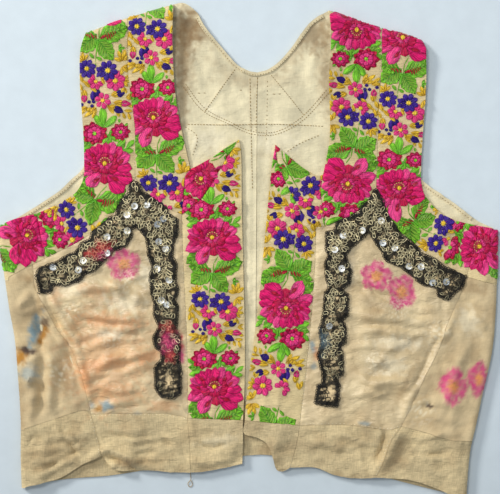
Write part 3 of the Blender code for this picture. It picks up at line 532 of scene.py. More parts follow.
def back_place(flat):
    """Back cloth: flat pattern places to their places laid down, turned over at both sides."""
    u, v = flat[:, 0], flat[:, 1]
    place = np.stack([u, v, HALF + lower_relief(u, v)], axis=1)
    for side, sign in SIGNS.items():
        start, radius = side_roll(side, v)
        past = sign * (u - start)
        lying = np.clip(-past / 12, 0, 1)
        own = (u < 0) == (side == "left")
        place[own, 2] = HALF + (lying * lower_relief(u, v))[own]
        turn = past / radius
        rolling = own & (past > 0)
        place[rolling, 0] = (start + sign * radius * np.sin(np.minimum(turn, math.pi)))[rolling]
        place[rolling, 2] = (HALF + radius * (1 - np.cos(np.minimum(turn, math.pi))))[rolling]
        over = own & (turn >= math.pi)
        gone = past - math.pi * radius
        x = start - sign * gone
        blend = np.clip(gone / (2 * radius), 0, 1)
        roll_top = HALF + 2 * radius
        z = roll_top + blend * (front_height(side, x, v) - roll_top + upper_relief(side, x, v))
        place[over, 0] = x[over]
        place[over, 2] = z[over]
    return place


def lower_pattern(points):
    """Outline places on the lower layer to flat pattern places, which stop where the side turns over."""
    x, y = points[:, 0], points[:, 1]
    left = np.maximum(x, side_roll("left", y)[0])
    right = np.minimum(x, side_roll("right", y)[0])
    return np.stack([np.where(x < 0, left, right), y], axis=1)


def upper_pattern(side, points, stop=True):
    """Places on the part of the back that has turned over to flat pattern places."""
    start, radius = side_roll(side, points[:, 1])
    past = math.pi * radius + SIGNS[side] * (start - points[:, 0])
    if stop:
        past = np.maximum(past, math.pi * radius)
    return np.stack([start + SIGNS[side] * past, points[:, 1]], axis=1)


def turn_line(side, y, steps=8):
    """Places between the lower and the upper layer, across the turn at one height."""
    start, radius = side_roll(side, y)
    sign = SIGNS[side]
    return np.array([(start + sign * math.pi * radius * i / steps, y) for i in range(1, steps)])


def floor_line(side, y0, y1, step=3.0):
    """The line along which the side leaves the surface, between two heights."""
    heights = np.linspace(y0, y1, max(3, round(abs(y1 - y0) / step)))[1:-1]
    return np.stack([side_roll(side, heights)[0], heights], axis=1)


def loop_of(*stretches):
    """One closed outline from stretches that follow each other, without doubled places."""
    points = []
    for stretch in stretches:
        for point in stretch:
            if not points or np.linalg.norm(point - points[-1]) > SAME_PLACE:
                points.append(np.array(point, float))
    if np.linalg.norm(points[0] - points[-1]) <= SAME_PLACE:
        points.pop()
    loop = np.array(points)
    return loop if area_of(loop) > 0 else loop[::-1]


def area_of(loop):
    after = np.roll(loop, -1, axis=0)
    return (loop[:, 0] * after[:, 1] - after[:, 0] * loop[:, 1]).sum() / 2


def inset(loop, distance):
    """The outline moved inwards all round."""
    before = loop - np.roll(loop, 1, axis=0)
    after = np.roll(loop, -1, axis=0) - loop
    before /= np.linalg.norm(before, axis=1)[:, None]
    after /= np.linalg.norm(after, axis=1)[:, None]
    inward = np.stack([-before[:, 1] - after[:, 1], before[:, 0] + after[:, 0]], axis=1)
    inward /= np.maximum((inward**2).sum(axis=1) / 2, 0.5)[:, None]
    return loop + distance * inward


def inside(loop, points):
    x, y = points[:, 0], points[:, 1]
    held = np.zeros(len(points), bool)
    for (ax, ay), (bx, by) in zip(loop, np.roll(loop, -1, axis=0)):
        crosses = (ay > y) != (by > y)
        if crosses.any():
            at = ax + (y - ay) * (bx - ax) / (by - ay if by != ay else 1)
            held ^= crosses & (x < at)
    return held


def lattice(loop, step):
    """Triangular grid of places inside an outline."""
    low, high = loop.min(axis=0), loop.max(axis=0)
    rise = step * math.sqrt(3) / 2
    rows = np.arange(low[1], high[1], rise)
    grid = [
        np.stack([np.arange(low[0] + number % 2 * step / 2, high[0], step)] * 2, axis=1)
        for number in range(len(rows))
    ]
    for row, y in zip(grid, rows):
        row[:, 1] = y
    points = np.concatenate(grid)
    return points[inside(loop, points)]


def far_from(points, candidates, distance):
    """The candidates that keep this distance to the points."""
    tree = KDTree(len(points))
    for number, point in enumerate(points):
        tree.insert((point[0], point[1], 0), number)
    tree.balance()
    kept = [tree.find((p[0], p[1], 0))[2] > distance for p in candidates]
    return candidates[np.array(kept, bool)] if len(candidates) else candidates


def fill(loop, step, shapes=(), extra=None):
    """(places, triangles, for each triangle the number of its topmost shape, or 0)"""
    borders = [loop, *shapes]
    rim = np.concatenate(borders)
    grid = far_from(rim, lattice(loop, step), 0.55 * step)
    if extra is not None:
        extra = far_from(rim, extra[inside(loop, extra)], 0.3 * step)
        grid = np.concatenate([extra, far_from(extra, grid, 0.6 * step)]) if len(extra) else grid
    faces = []
    first = 0
    for border in borders:
        faces.append(list(range(first, first + len(border))))
        first += len(border)
    points = np.concatenate([rim, grid])
    result = delaunay_2d_cdt([Vector(p) for p in points.tolist()], [], faces, 1, 1e-4)
    places = np.array([tuple(v) for v in result[0]])
    chosen = [(face, max(owners)) for face, owners in zip(result[2], result[5]) if 0 in owners]
    return places, np.array([face for face, _ in chosen]), np.array([top for _, top in chosen])


# Screen colours of the cloths, threads and stains
HUES = {
    "satin": "#CDB68C", "satin_light": "#E0CDA4", "ribbon": "#E2CD9C", "hem": "#CDB98E", "back": "#E2D7B4",
    "outside": "#CDB890", "binding": "#DBCDA8", "sewing": "#EFE6CB",
    "brown_sewing": "#9A7F4E",
    "magenta": "#E0166C", "pink": "#F24A94", "crimson": "#BE0A38", "green": "#8ED634",
    "dark_green": "#5CB428",
    "lime": "#B4CC34", "yellow": "#F7D13A", "ochre": "#DFA826", "indigo": "#2A0E78", "violet": "#4C28A4",
    "peach": "#F4B878", "blush": "#F2BBCB", "vein": "#A8E048", "scarlet": "#B5142E",
    "orange_stain": "#DC9A66", "heart_stain": "#D9934A", "pink_stain": "#CB4079", "red_stain": "#C8383E",
    "blue_stain": "#7F98A0",
    # The brown hue serves for dirt, and for painted shadow of the straps on the lining
    "rust_stain": "#A8762F", "brown_dirt_and_shade": "#8A6A42", "dark_stain": "#4A3A30",
    "pale_stain": "#EDE3C6",
    # The dark metal hue serves for tarnished metal, and for painted shade on the ornament's net
    "dark_metal_and_shade": "#16130F", "metal_light": "#DACDA2", "sequin": "#F0F0EC",
    "sequin_grey": "#8795A0", "floor": "#D2DEE6",
}


def linear(code):
    """The linear colour of a screen colour."""
    parts = np.array([int(code[i : i + 2], 16) / 255 for i in (1, 3, 5)])
    return np.where(parts <= 0.04045, parts / 12.92, ((parts + 0.055) / 1.055) ** 2.4)


COLOURS = {name: linear(code) for name, code in HUES.items()}


def shades(name, count):
    """The colour for a number of points, with no stitching on them."""
    return np.tile([*COLOURS[name], 0.0], (count, 1))


def dye(colours, share, hue):
    """Move the colours towards a hue by a share for each."""
    colours[:, :3] += share[:, None] * (COLOURS[hue] - colours[:, :3])


def stained_and_shaded(colours, x, y, stains):
    """The colours with soft uneven patches over them: stains, and on the lining painted shadow of the straps
    as well.

    Each stain is (across, up, half-width, half-height, turn, hue, strength).
    """
    for number, (across, up, wide, high, turn, hue, strength) in enumerate(stains):
        angle = math.radians(turn)
        dx, dy = x - across, y - up
        along = (dx * math.cos(angle) + dy * math.sin(angle)) / wide
        beside = (dy * math.cos(angle) - dx * math.sin(angle)) / high
        edge = np.hypot(along, beside) + 0.28 * ripple(x, y, 9.0, 40 + number) + 0.12 * ripple(x, y, 3.5, 80)
        share = strength * np.clip(1.6 - 1.6 * edge, 0, 1) ** 1.2
        dye(colours, share, hue)
    return colours


def blossom(colours, x, y, across, up, wide, high, turn, petals):
    """A flower of dyed petals that has faded and bled into the cloth."""
    dx, dy = (x - across) / wide, (y - up) / high
    radius = np.hypot(dx, dy)
    angle = np.arctan2(dy, dx) - math.radians(turn)
    lobes = 0.80 + 0.32 * np.abs(np.cos(angle * petals / 2)) ** 0.6
    blur = 0.07 * ripple(x, y, 5.0, 17) + 0.05 * ripple(x, y, 2.5, 19)
    petal = np.clip((lobes + blur - radius) * 5, 0, 1)
    veins = 0.86 + 0.14 * np.abs(np.sin(angle * petals / 2))
    deep = np.clip(0.65 + 0.35 * radius + 0.3 * ripple(x, y, 6.0, 23), 0.6, 1.0)
    dye(colours, petal * deep * veins, "pink_stain")
    heart = np.clip((0.46 + 0.10 * ripple(x, y, 4.0, 29) - radius) * 4, 0, 1)
    dye(colours, 0.85 * heart, "heart_stain")
    specks = heart * (ripple(x, y, 2.6, 31) > 0.55)
    dye(colours, 0.45 * specks, "brown_dirt_and_shade")
    return colours


def mesh_object(name, points, faces, material, uv=None, shade=None, sharp=50):
    """A mesh object from places in millimetres. The uv and the shade have one row for each face's corner."""
    mesh = bpy.data.meshes.new(name)
    mesh.from_pydata((np.asarray(points) * MM).tolist(), [], np.asarray(faces).tolist())
    if uv is not None:
        layer = mesh.uv_layers.new(name="threads")
        layer.data.foreach_set("uv", np.asarray(uv, np.float32).ravel())
    if shade is not None:
        layer = mesh.color_attributes.new("shade", "FLOAT_COLOR", "CORNER")
        layer.data.foreach_set("color", np.asarray(shade, np.float32).ravel())
    mesh.shade_smooth()
    if sharp:
        mesh.set_sharp_from_angle(angle=math.radians(sharp))
    mesh.materials.append(material)
    obj = bpy.data.objects.new(name, mesh)
    bpy.context.scene.collection.objects.link(obj)
    return obj


def normals_of(place, flat):
    """The cloth's normals at flat pattern places, from small steps either way."""
    step = 0.2
    across = place(flat + (step, 0)) - place(flat - (step, 0))
    along = place(flat + (0, step)) - place(flat - (0, step))
    normals = np.cross(across, along)
    return normals / np.linalg.norm(normals, axis=1)[:, None]


def rim_of(faces):
    """The sides of triangles that have no neighbour, in the triangles' own direction."""
    sides = np.concatenate([faces[:, [0, 1]], faces[:, [1, 2]], faces[:, [2, 0]]])
    most = int(faces.max()) + 1
    own = sides[:, 0] * most + sides[:, 1]
    back = sides[:, 1] * most + sides[:, 0]
    return sides[~np.isin(own, back)]


def wall(name, material, flat, faces, place, low, high, paint, paint_under=None, tops=None, shapes=(),
         stitched="high"):
    """A closed thin wall of cloth between two distances from its middle.

    paint(places, flat) gives the colour of the points of its high face, and paint_under that of its low face.
    Triangles with a number above 0 in tops are stitched: they take the colours and the thread lines of that
    shape, counted from 1, and stand proud on the stitched face.
    """
    used = np.unique(faces)
    number = np.full(len(flat), -1)
    number[used] = np.arange(len(used))
    faces, flat = number[faces], flat[used]
    middle = place(flat)
    normals = normals_of(place, flat)
    rim = rim_of(faces)
    raised = np.zeros(len(flat))
    edge = np.zeros(len(flat))
    if tops is not None:
        least = np.full(len(flat), 10**6)
        most = np.full(len(flat), -1)
        for corner in range(3):
            np.minimum.at(least, faces[:, corner], tops)
            np.maximum.at(most, faces[:, corner], tops)
        raised = STITCH_PILE * ((least == most) & (most > 0)) + STITCH_EDGE * ((least != most) & (least > 0))
        edge = (least != most).astype(float)
        raised[rim.ravel()] = 0
    over = raised if stitched == "high" else 0
    under = raised if stitched == "low" else 0
    count = len(flat)
    outer = middle + normals * (high + over * np.ones(count))[:, None]
    inner = middle + normals * (low - under * np.ones(count))[:, None]
    a, b = rim[:, 0], rim[:, 1]
    sides = np.concatenate([np.stack([b, a, a + count], 1), np.stack([b, a + count, b + count], 1)])
    all_faces = np.concatenate([faces, faces[:, ::-1] + count, sides])
    colours = np.concatenate([paint(outer, flat), (paint_under or paint)(inner, flat)])
    shade = colours[all_faces]
    uv = np.concatenate([flat, flat])[all_faces]
    if tops is not None:
        worked = np.flatnonzero(tops > 0)
        rows = worked if stitched == "high" else worked + len(faces)
        corners = all_faces[rows] % count
        hues, threads = stitch_look([shapes[top - 1] for top in tops[worked]], flat[corners])
        shade[rows] = hues
        uv[rows] = threads
        # Painted shade in the grooves: corners on a border between shapes are darkened, threads fully and
        # bare linen by about a third
        groove_shade_share = 0.35 + 0.65 * shade[..., 3]
        shade[..., :3] *= (1 - PAINTED_GROOVE_SHADE * np.tile(edge, 2)[all_faces] * groove_shade_share)[..., None]
    return mesh_object(name, np.concatenate([outer, inner]), all_faces, material, uv, shade)


# The embroidered ribbon's repeat: one big peony, leaves, small flowers, buds and roses
REPEAT = 158.0
STITCH_PILE = 0.95
STITCH_EDGE = 0.2
# Painted shade: how much darker the threads, and a little the linen, are painted in the grooves where they go
# down into the linen
PAINTED_GROOVE_SHADE = 0.42


def petal(base, tip, width, inner, outer, widest=0.6, bend=0.0, full=0.75, slant=0.0):
    """A stitched petal with two bowed sides. The slant turns its threads off its own line, in degrees."""
    base, tip = np.array(base, float), np.array(tip, float)
    axis = tip - base
    length = np.linalg.norm(axis)
    across = np.array((-axis[1], axis[0])) / length
    steps = max(5, min(9, round(length / 1.6) + 2))
    t = np.linspace(0, 1, steps)
    half = width / 2 * np.sin(np.pi * t ** (math.log(0.5) / math.log(widest))) ** full
    bow = 4 * bend * t * (1 - t)
    spine = base + t[:, None] * axis + bow[:, None] * across
    left = spine + half[:, None] * across
    right = spine - half[:, None] * across
    outline = np.concatenate([left, right[-2:0:-1]])
    return {"outline": outline, "base": base, "tip": tip, "width": width, "inner": inner, "outer": outer,
            "slant": slant}


def strokes(hue, width, *lines):
    """Single long stitches, each from one place to another."""
    return [petal(a, b, width, hue, hue, widest=0.5, full=0.6) for a, b in lines]


def disc(centre, radius, inner, outer=None):
    """A small round of stitches."""
    x, y = centre
    return petal((x, y - radius), (x, y + radius), 2 * radius, inner, outer or inner, widest=0.5, full=0.55)


def round_of(centre, radius, count, inner, outer, turn=0.0, width=None, heart="yellow", heart_size=0.25,
             leave_out=()):
    """A flower of petals round a heart."""
    x, y = centre
    shapes = []
    for number in range(count):
        if number in leave_out:
            continue
        angle = math.radians(turn + 360 * number / count)
        way = np.array((math.cos(angle), math.sin(angle)))
        near, far = np.array((x, y)) + 0.16 * radius * way, np.array((x, y)) + radius * way
        petal_width = width or 1.95 * math.pi * radius * 0.62 / count
        shapes.append(petal(near, far, petal_width, inner, outer, widest=0.62, full=0.6))
    if heart:
        shapes.append(disc(centre, heart_size * radius, heart))
    return shapes


def leaf(base, tip, width, veins=4):
    """A serrated leaf with a dark midrib and paler bundles of threads beside it."""
    shape = petal(base, tip, width, "dark_green", "green", widest=0.45, full=0.62, slant=40)
    outline = shape["outline"]
    centre = outline.mean(axis=0)
    teeth = 1 + 0.06 * np.cos(np.arange(len(outline)) * math.pi)
    shape["outline"] = centre + (outline - centre) * teeth[:, None]
    shapes = [shape]
    base, tip = np.array(base, float), np.array(tip, float)
    axis = tip - base
    length = np.linalg.norm(axis)
    across = np.array((-axis[1], axis[0])) / length
    if veins:
        shapes += strokes("dark_green", 0.9, (base + 0.04 * axis, base + 0.86 * axis))
    for number in range(veins):
        t = 0.14 + 0.6 * number / veins
        for side in (-1, 1):
            start = base + t * axis
            end = base + (t + 0.22) * axis + side * across * width * 0.40 * math.sin(math.pi * (t + 0.2))
            shapes += strokes("vein", 1.5, (start, end))
    return shapes


def ladder(hue, *rungs):
    """A row of short curved stitches laid over a leaf."""
    return [petal(a, b, width, hue, hue, widest=0.45, bend=0.6) for a, b, width in rungs]


def peony(x, y):
    """The big flower: back petals, then the whorl round its heart."""
    parts = []
    rows = (
        ((-1, -12), (14.5, -28.5), 12, 1.0), ((-3, -12), (-23, -22.5), 15, 1.5),
        ((-7, -8), (-29.5, -13.5), 12, 0.8),
        ((5, -10), (27, -13.5), 10.5, 0.6), ((10, -6), (24.5, -6.6), 6.5, 0.3),
        ((9, -4), (25, 1.2), 9.5, 0.5),
        ((9, -1), (24.6, 8.4), 7.5, 0.4), ((8, 1), (19, 13.8), 9.5, -0.5), ((-9, -4), (-28, -3), 9.5, -0.4),
        ((-9, -4), (-25.5, 8.8), 10.5, -0.6), ((-7, -1), (-17, 16), 9.5, -0.5), ((6, 4), (14, 17), 8, 0),
        ((-4, 5), (-9, 21), 9, 0), ((3, 6), (7, 20), 8, 0), ((0, 6), (-1.2, 21), 7.5, 0),
    )
    parts.append(petal((x - 2, y - 20), (x + 1, y + 15), 33, "crimson", "magenta", widest=0.5, full=0.6))
    for number, (base, tip, width, bend) in enumerate(rows):
        inner, outer = ("magenta", "magenta") if number % 3 else ("magenta", "pink")
        parts.append(petal((x + 0.3 * base[0], y + 0.3 * base[1]), (x + tip[0], y + tip[1]),
                           1.15 * width, inner, outer,
                           widest=0.68, bend=bend))
    for base, tip in (((-6, -12), (-16, -14.5)), ((3, -14), (9, -21)), ((11, -2.6), (18, -0.4)),
                      ((-12, -1), (-19, 5)), ((-8, 4), (-12, 10)), ((10, 5), (14, 10))):
        parts.append(petal((x + base[0], y + base[1]), (x + tip[0], y + tip[1]), 3.6, "crimson", "crimson"))
    for angle, reach, width in ((-150, 15, 10), (-30, 15, 10), (-90, 13, 11), (-178, 14.5, 9), (0, 14.5, 9),
                                (150, 14, 9.5), (30, 14, 9.5), (120, 13.5, 9.5), (60, 13.5, 9.5),
                                (90, 13, 9)):
        way = np.array((math.cos(math.radians(angle)), math.sin(math.radians(angle)) * 0.82))
        place = np.array((x, y - 0.5))
        parts.append(petal(place + way, place + reach * way, width, "magenta",
                           "crimson" if angle % 60 else "magenta",
                           widest=0.66))
    for angle in (-135, -60, 175, 10, 140, 45, 95):
        way = np.array((math.cos(math.radians(angle)), math.sin(math.radians(angle)) * 0.82))
        parts.append(petal(np.array((x, y)) + way, np.array((x, y)) + 7.6 * way, 6, "magenta", "pink",
                           widest=0.66))
    parts.append(disc((x, y + 1.6), 4.4, "crimson", "magenta"))
    for number in range(7):
        angle = math.radians(8 + 164 * number / 6)
        far = np.array((x + 5.0 * math.cos(angle), y + 1 + 4.8 * math.sin(angle)))
        parts += strokes("ochre", 0.55, ((x, y), far))
        parts.append(disc(far, 0.85, "peach"))
    parts.append(petal((x - 0.2, y + 2.6), (x + 0.2, y - 2.8), 4.4, "yellow", "yellow", widest=0.45))
    return parts


def rose(centre, wide, high, turn=0.0):
    """A small rose seen from the side, with a green heart."""
    x, y = centre
    parts = []
    for radius, count, inner, outer, width in ((1.0, 9, "crimson", "crimson", 0.62), (0.84, 8, "crimson",
                                                "magenta", 0.62), (0.56, 6, "magenta", "pink", 0.56)):
        for number in range(count):
            angle = math.radians(turn + 360 * (number + radius) / count)
            way = np.array((wide * math.cos(angle), high * math.sin(angle)))
            parts.append(petal(np.array(centre) + 0.12 * way, np.array(centre) + 1.06 * radius * way,
                               width * min(wide, high), inner, outer, widest=0.6, full=0.8))
    parts.append(disc((x, y - 0.5), 1.9, "green"))
    return parts


def bud(base, tip, width, inner, outer, calyx):
    """A closed bud, its pointed petals parted by a paler line, and the stitches of its yellow calyx."""
    base, tip, calyx = (np.array(place, float) for place in (base, tip, calyx))
    parts = [petal(base, tip, width, inner, outer, widest=0.42, full=0.8)]
    parts += strokes("violet" if inner == "indigo" else "blush", 0.6, (base + 0.3 * (tip - base),
                                                                     base + 0.7 * (tip - base)))
    back = calyx - base
    across = np.array((-back[1], back[0])) / np.linalg.norm(back) * width * 0.42
    for side in (-1, 0, 1):
        parts.append(petal(calyx, base - 0.35 * back + side * across, 3.0, "ochre", "yellow", widest=0.55))
    return parts


def sprig(hue, width, base, *tips):
    """Narrow leaves or petals that share a base."""
    return [petal(base, tip, width, hue[0], hue[1], widest=0.55, full=0.65) for tip in tips]


GREEN = ("dark_green", "green")
YELLOW = ("ochre", "yellow")


def ribbon_repeat():
    """One repeat in sewing order: across from the ribbon's middle, then down from the peony's heart."""
    parts = []
    parts += strokes("green", 1.3, ((5, -60), (3, -43)), ((3, -44), (0.8, -37)), ((0.8, -38), (0, -27)),
                     ((0, -28), (-4.3, -20)), ((0.9, 35.8), (-1.5, 26)), ((5.1, -60), (5.4, -63.5)))
    parts += leaf((3.2, -33), (23, -48), 20, veins=5)
    parts += leaf((5, -33), (25, -29.5), 14, veins=3)
    parts += leaf((1.7, -37.5), (-12.5, -58), 16.5, veins=5)
    parts += leaf((-0.3, -36), (-28.5, -26.5), 19, veins=4)
    parts += ladder("scarlet", ((-8.2, -38.5), (-5.2, -32), 1.6), ((-10.6, -38.4), (-7.6, -31), 1.6),
                    ((-12.6, -37), (-10, -30.4), 1.4), ((-14.4, -35.2), (-12.2, -29.8), 1.2),
                    ((-15.8, -33), (-14.6, -29.8), 1.0), ((3.2, -37.4), (5.6, -33), 1.5),
                    ((5.9, -37.4), (9.4, -31.6), 1.8), ((9.0, -37), (12.6, -31.8), 1.4),
                    ((11.6, -35.6), (14.4, -32.4), 1.0))
    parts += [petal((-6.2, -34.2), (-0.2, -37.2), 3.2, "scarlet", "scarlet", widest=0.35)]
    parts += sprig(GREEN, 3.6, (4.2, -54.5), (-1.5, -57.5)) + sprig(GREEN, 3.4, (6, -56), (11, -50.5))
    parts += sprig(GREEN, 3.0, (-18.4, -47), (-25, -46.8), (-21.4, -51.6), (-21.2, -42.4))
    parts += leaf((12, -14.5), (27, -27), 13, veins=3)
    parts += leaf((-14, -20), (-27, -27), 9, veins=2)
    parts += sprig(GREEN, 5.2, (-16.5, 13), (-27.5, 12.2), (-17.4, 22.4))
    parts += sprig(GREEN, 5.0, (-20, 14.4), (-28.4, 21.8)) + sprig(GREEN, 6.0, (-10.2, 15.5), (-19.6, 22.6))
    parts += leaf((10.3, 20.4), (26.4, 20.6), 10.5, veins=3)
    parts += sprig(GREEN, 6.5, (13, 16.5), (26, 12.5)) + sprig(GREEN, 5.0, (21, 24), (27, 30))
    parts += sprig(GREEN, 4.2, (15, 21.6), (23.6, 28.4))
    parts += sprig(GREEN, 6.2, (-3.4, 28.6), (-13.4, 21.4), (-3.4, 16.6), (-9.6, 30.6), (2.6, 19.4))
    parts += peony(1.0, 0.0)
    parts += rose((-15.2, 30.3), 9.6, 8.4, 20) + rose((10.8, 30.0), 13.0, 11.2, 0)
    parts += sprig(GREEN, 7.0, (0.9, 34.8), (-12.4, 45.6), (10.6, 48.2))
    parts += sprig(GREEN, 8.2, (1.2, 36.4), (1.4, 55.4))
    parts += sprig(GREEN, 2.8, (-14.6, 38.6), (-14.3, 43.0)) + sprig(GREEN, 2.6, (-19.6, 35.6), (-23, 37.8))
    parts += sprig(YELLOW, 3.6, (-23.6, 48.4), (-25.5, 41)) + sprig(YELLOW, 3.4, (-18.2, 49), (-20.6, 42.2))
    parts += sprig(YELLOW, 3.6, (-12.6, 51), (-14.6, 44.4)) + sprig(YELLOW, 3.4, (-19.6, 50.2), (-28, 49.4))
    parts += sprig(YELLOW, 4.0, (-3.2, 57.6), (-9.6, 47.6)) + sprig(YELLOW, 3.4, (-22.6, 56), (-28.8, 53.4))
    parts += sprig(YELLOW, 4.2, (7.2, 54.6), (12.4, 44.8), (20.6, 45.8), (19.6, 52.6))
    parts += sprig(YELLOW, 3.8, (16.2, 55.8), (25.2, 48.6), (26.4, 55))
    parts += sprig(YELLOW, 3.4, (14, 50.4), (9.6, 58))
    parts += bud((-9.6, 53.6), (-19.2, 48.8), 7.2, "indigo", "indigo", (-5.4, 55.4))
    parts += bud((-16.4, 57.4), (-27, 56.2), 6.4, "pink", "magenta", (-9.6, 58.8))
    parts += bud((-13, 66.4), (-22, 66.8), 7.0, "indigo", "indigo", (-7.8, 65.6))
    parts += [petal((2, 66), (9.8, 72.8), 9.5, "indigo", "indigo", widest=0.5, bend=-1.2),
              petal((8.2, 58.4), (10, 71.8), 4.4, "indigo", "violet", bend=-1.6)]
    parts += round_of((0.5, 61.1), 8.4, 6, "magenta", "pink", turn=20, width=5.6)
    parts += [disc(place, 1.95, "indigo") for place in ((11.7, 56.7), (10, 60.8), (14.4, 60.8), (21.8, 58.6))]
    parts += bud((18.6, 68.6), (19.2, 60.2), 6.6, "pink", "magenta", (18.2, 73.4))
    parts += sprig(YELLOW, 3.6, (21.6, 88), (25.4, 79), (18.6, 79.4))
    parts += sprig(YELLOW, 3.6, (19, 82), (12, 74.6))
    parts += sprig(YELLOW, 3.8, (23.4, 80), (25.6, 70.4), (20, 72))
    parts += sprig(YELLOW, 3.2, (15.4, 80.6), (8.2, 76.2))
    parts += sprig(YELLOW, 3.2, (17, 88), (10.6, 84.4)) + sprig(YELLOW, 3.4, (12.4, 75.2), (5.8, 69.8))
    parts += sprig(YELLOW, 3.6, (-20.6, 79), (-28.4, 84.6), (-29, 77.6), (-25.4, 72.6))
    parts += sprig(YELLOW, 3.0, (-22.4, 62.6), (-28.6, 66), (-28.8, 60.6))
    parts += round_of((-13.2, 79.5), 10.6, 7, "magenta", "pink", turn=-90, width=7.0)
    parts += round_of((6, 80.2), 8.4, 7, "magenta", "pink", turn=-100, width=5.6, leave_out=(4, 5))
    parts += sprig(YELLOW, 3.2, (0.6, 84), (-2.4, 76.6), (-4.8, 81.8), (-1.2, 88.4))
    parts += sprig(YELLOW, 3.2, (-21.8, 72.6), (-23.4, 66), (-18.4, 67.4))
    parts += round_of((-6.6, 89.9), 10.4, 8, "indigo", "violet", turn=-75, width=5.6)
    parts += [petal((-1.8, 87), (5.2, 84.4), 4.4, "indigo", "violet", bend=1.6),
              petal((-1.6, 91), (5, 93.4), 5.0, "indigo", "violet", bend=-1.2)]
    parts += round_of((14.2, 93.0), 9.6, 8, "indigo", "violet", turn=-60, width=5.4)
    parts += sprig(YELLOW, 3.4, (17.4, 100.4), (12.4, 106.4), (17.6, 109), (22.8, 106.4), (25.6, 101.4))
    parts += sprig(YELLOW, 4.2, (-22, 93.6), (-19.4, 84.6), (-26, 86.6), (-29.6, 92.4))
    parts += sprig(YELLOW, 4.4, (-22.4, 98.6), (-13.4, 101.4), (-17.4, 108.6), (-24.6, 110), (-29.6, 104.6))
    return parts


# How the ribbon lies on each band: the middle of its way, where the repeat's peony comes on it, stretch, and
# whether it is turned head to foot. A way runs from the shoulder down; limits keep one stretch of it.
RIBBON_WAYS = {
    "left_shoulder": {"way": ((-149, 262), (-147, 190), (-143, 130), (-142, 88), (-147, 58), (-161, 40),
                              (-182, 22),
                              (-212, 4)),
                      "heart_at": 175.5, "stretch": 1.03, "turned": False, "limits": (0, 262)},
    "left_far": {"way": ((-196, 24), (-223, 13), (-252, 2)), "heart_at": 25.8, "stretch": 0.95,
                 "turned": False, "limits": (-8, 80)},
    "left_neck": {"way": ((-97, 275), (-96, 200), (-93, 129), (-86, 75), (-80, 30)),
                  "heart_at": 142.5, "stretch": 0.98, "turned": False, "limits": (0, 300)},
    "left_front": {"way": ((-37, 125), (-35.5, 36), (-34, -20), (-33, -91), (-32.4, -180)),
                   "heart_at": 112.0, "stretch": 0.943, "turned": False, "limits": (0, 400)},
    "left_lapel": {"way": ((-9, 113), (-48, 72), (-76, 43)), "heart_at": 56.0, "stretch": 0.95,
                   "turned": True, "limits": (0, 120)},
    "right_shoulder": {"way": ((153, 250), (156, 186), (154, 154), (152, 99), (152, 62), (160, 38), (180, 23),
                               (196, 20), (226, 6)),
                       "heart_at": 188.0, "stretch": 0.95, "turned": False, "limits": (0, 262)},
    "right_far": {"way": ((200, 15), (236, 3.5), (262, -4)), "heart_at": 33.0, "stretch": 0.95,
                  "turned": False, "limits": (4, 90)},
    "right_neck": {"way": ((107, 268), (107, 186), (105, 115), (99, 70), (93, 40)),
                   "heart_at": 48.0, "stretch": 0.973, "turned": True, "limits": (0, 300)},
    "right_front": {"way": ((49, 120), (43, 30), (37, -55), (30.5, -112), (24, -172)),
                    "heart_at": 177.7, "stretch": 1.0, "turned": True, "limits": (0, 400)},
    "right_lapel": {"way": ((13, 122), (77, 33)), "heart_at": 10.4, "stretch": 0.95, "turned": False,
                    "limits": (0, 120)},
}
BAND_WAYS = {
    "shoulder_band": ("shoulder",), "neck_band": ("neck",), "armhole_band": ("far", "shoulder"),
    "front_band": ("front",), "lapel_band": ("lapel",), "armhole_band_tail": ("far",),
}


def on_way(way, along, across):
    """Places beside a line: so far along it, then so far to the left of its direction."""
    points = spaced(spline(way), 4.0)
    lengths = lengths_of(points)
    ahead = np.gradient(points, axis=0)
    ahead /= np.linalg.norm(ahead, axis=1)[:, None]
    for _ in range(3):
        ahead[1:-1] = (ahead[:-2] + 2 * ahead[1:-1] + ahead[2:]) / 4
    at = np.clip(along, 0, lengths[-1])
    place = np.stack([np.interp(at, lengths, points[:, k]) for k in (0, 1)], axis=1)
    way_on = np.stack([np.interp(at, lengths, ahead[:, k]) for k in (0, 1)], axis=1)
    beside = np.stack([-way_on[:, 1], way_on[:, 0]], axis=1)
    return place + across[:, None] * beside + (along - at)[:, None] * way_on


def laid_repeat(row, shapes):
    """The repeat's shapes laid all the way along one ribbon."""
    sign = 1 if row["turned"] else -1
    first, last = row["limits"]
    step = REPEAT * row["stretch"]
    hearts = row["heart_at"] + step * np.arange(-3, 4)
    laid = []
    for heart in hearts:
        for shape in shapes:
            drawn = np.concatenate([shape["outline"], [shape["base"], shape["tip"]]])
            along = heart + sign * drawn[:, 1] * row["stretch"]
            if not first < along.mean() < last:
                continue
            places = on_way(row["way"], along, sign * drawn[:, 0])
            laid.append({**shape, "outline": places[:-2], "base": places[-2], "tip": places[-1]})
    return laid


# Where stitches have worn away: place, reach and the threads that have gone
WORN_STITCHES = (
    ((30, -146), 17, ("indigo", "violet", "yellow", "ochre")),
    ((44, -150), 14, ("indigo", "violet", "yellow", "ochre", "green")),
)


def worn_away(shape):
    """True where the stitches have gone."""
    middle = shape["outline"].mean(axis=0)
    return any(
        np.hypot(*(middle - place)) < reach and shape["inner"] in hues for place, reach, hues in WORN_STITCHES
    )


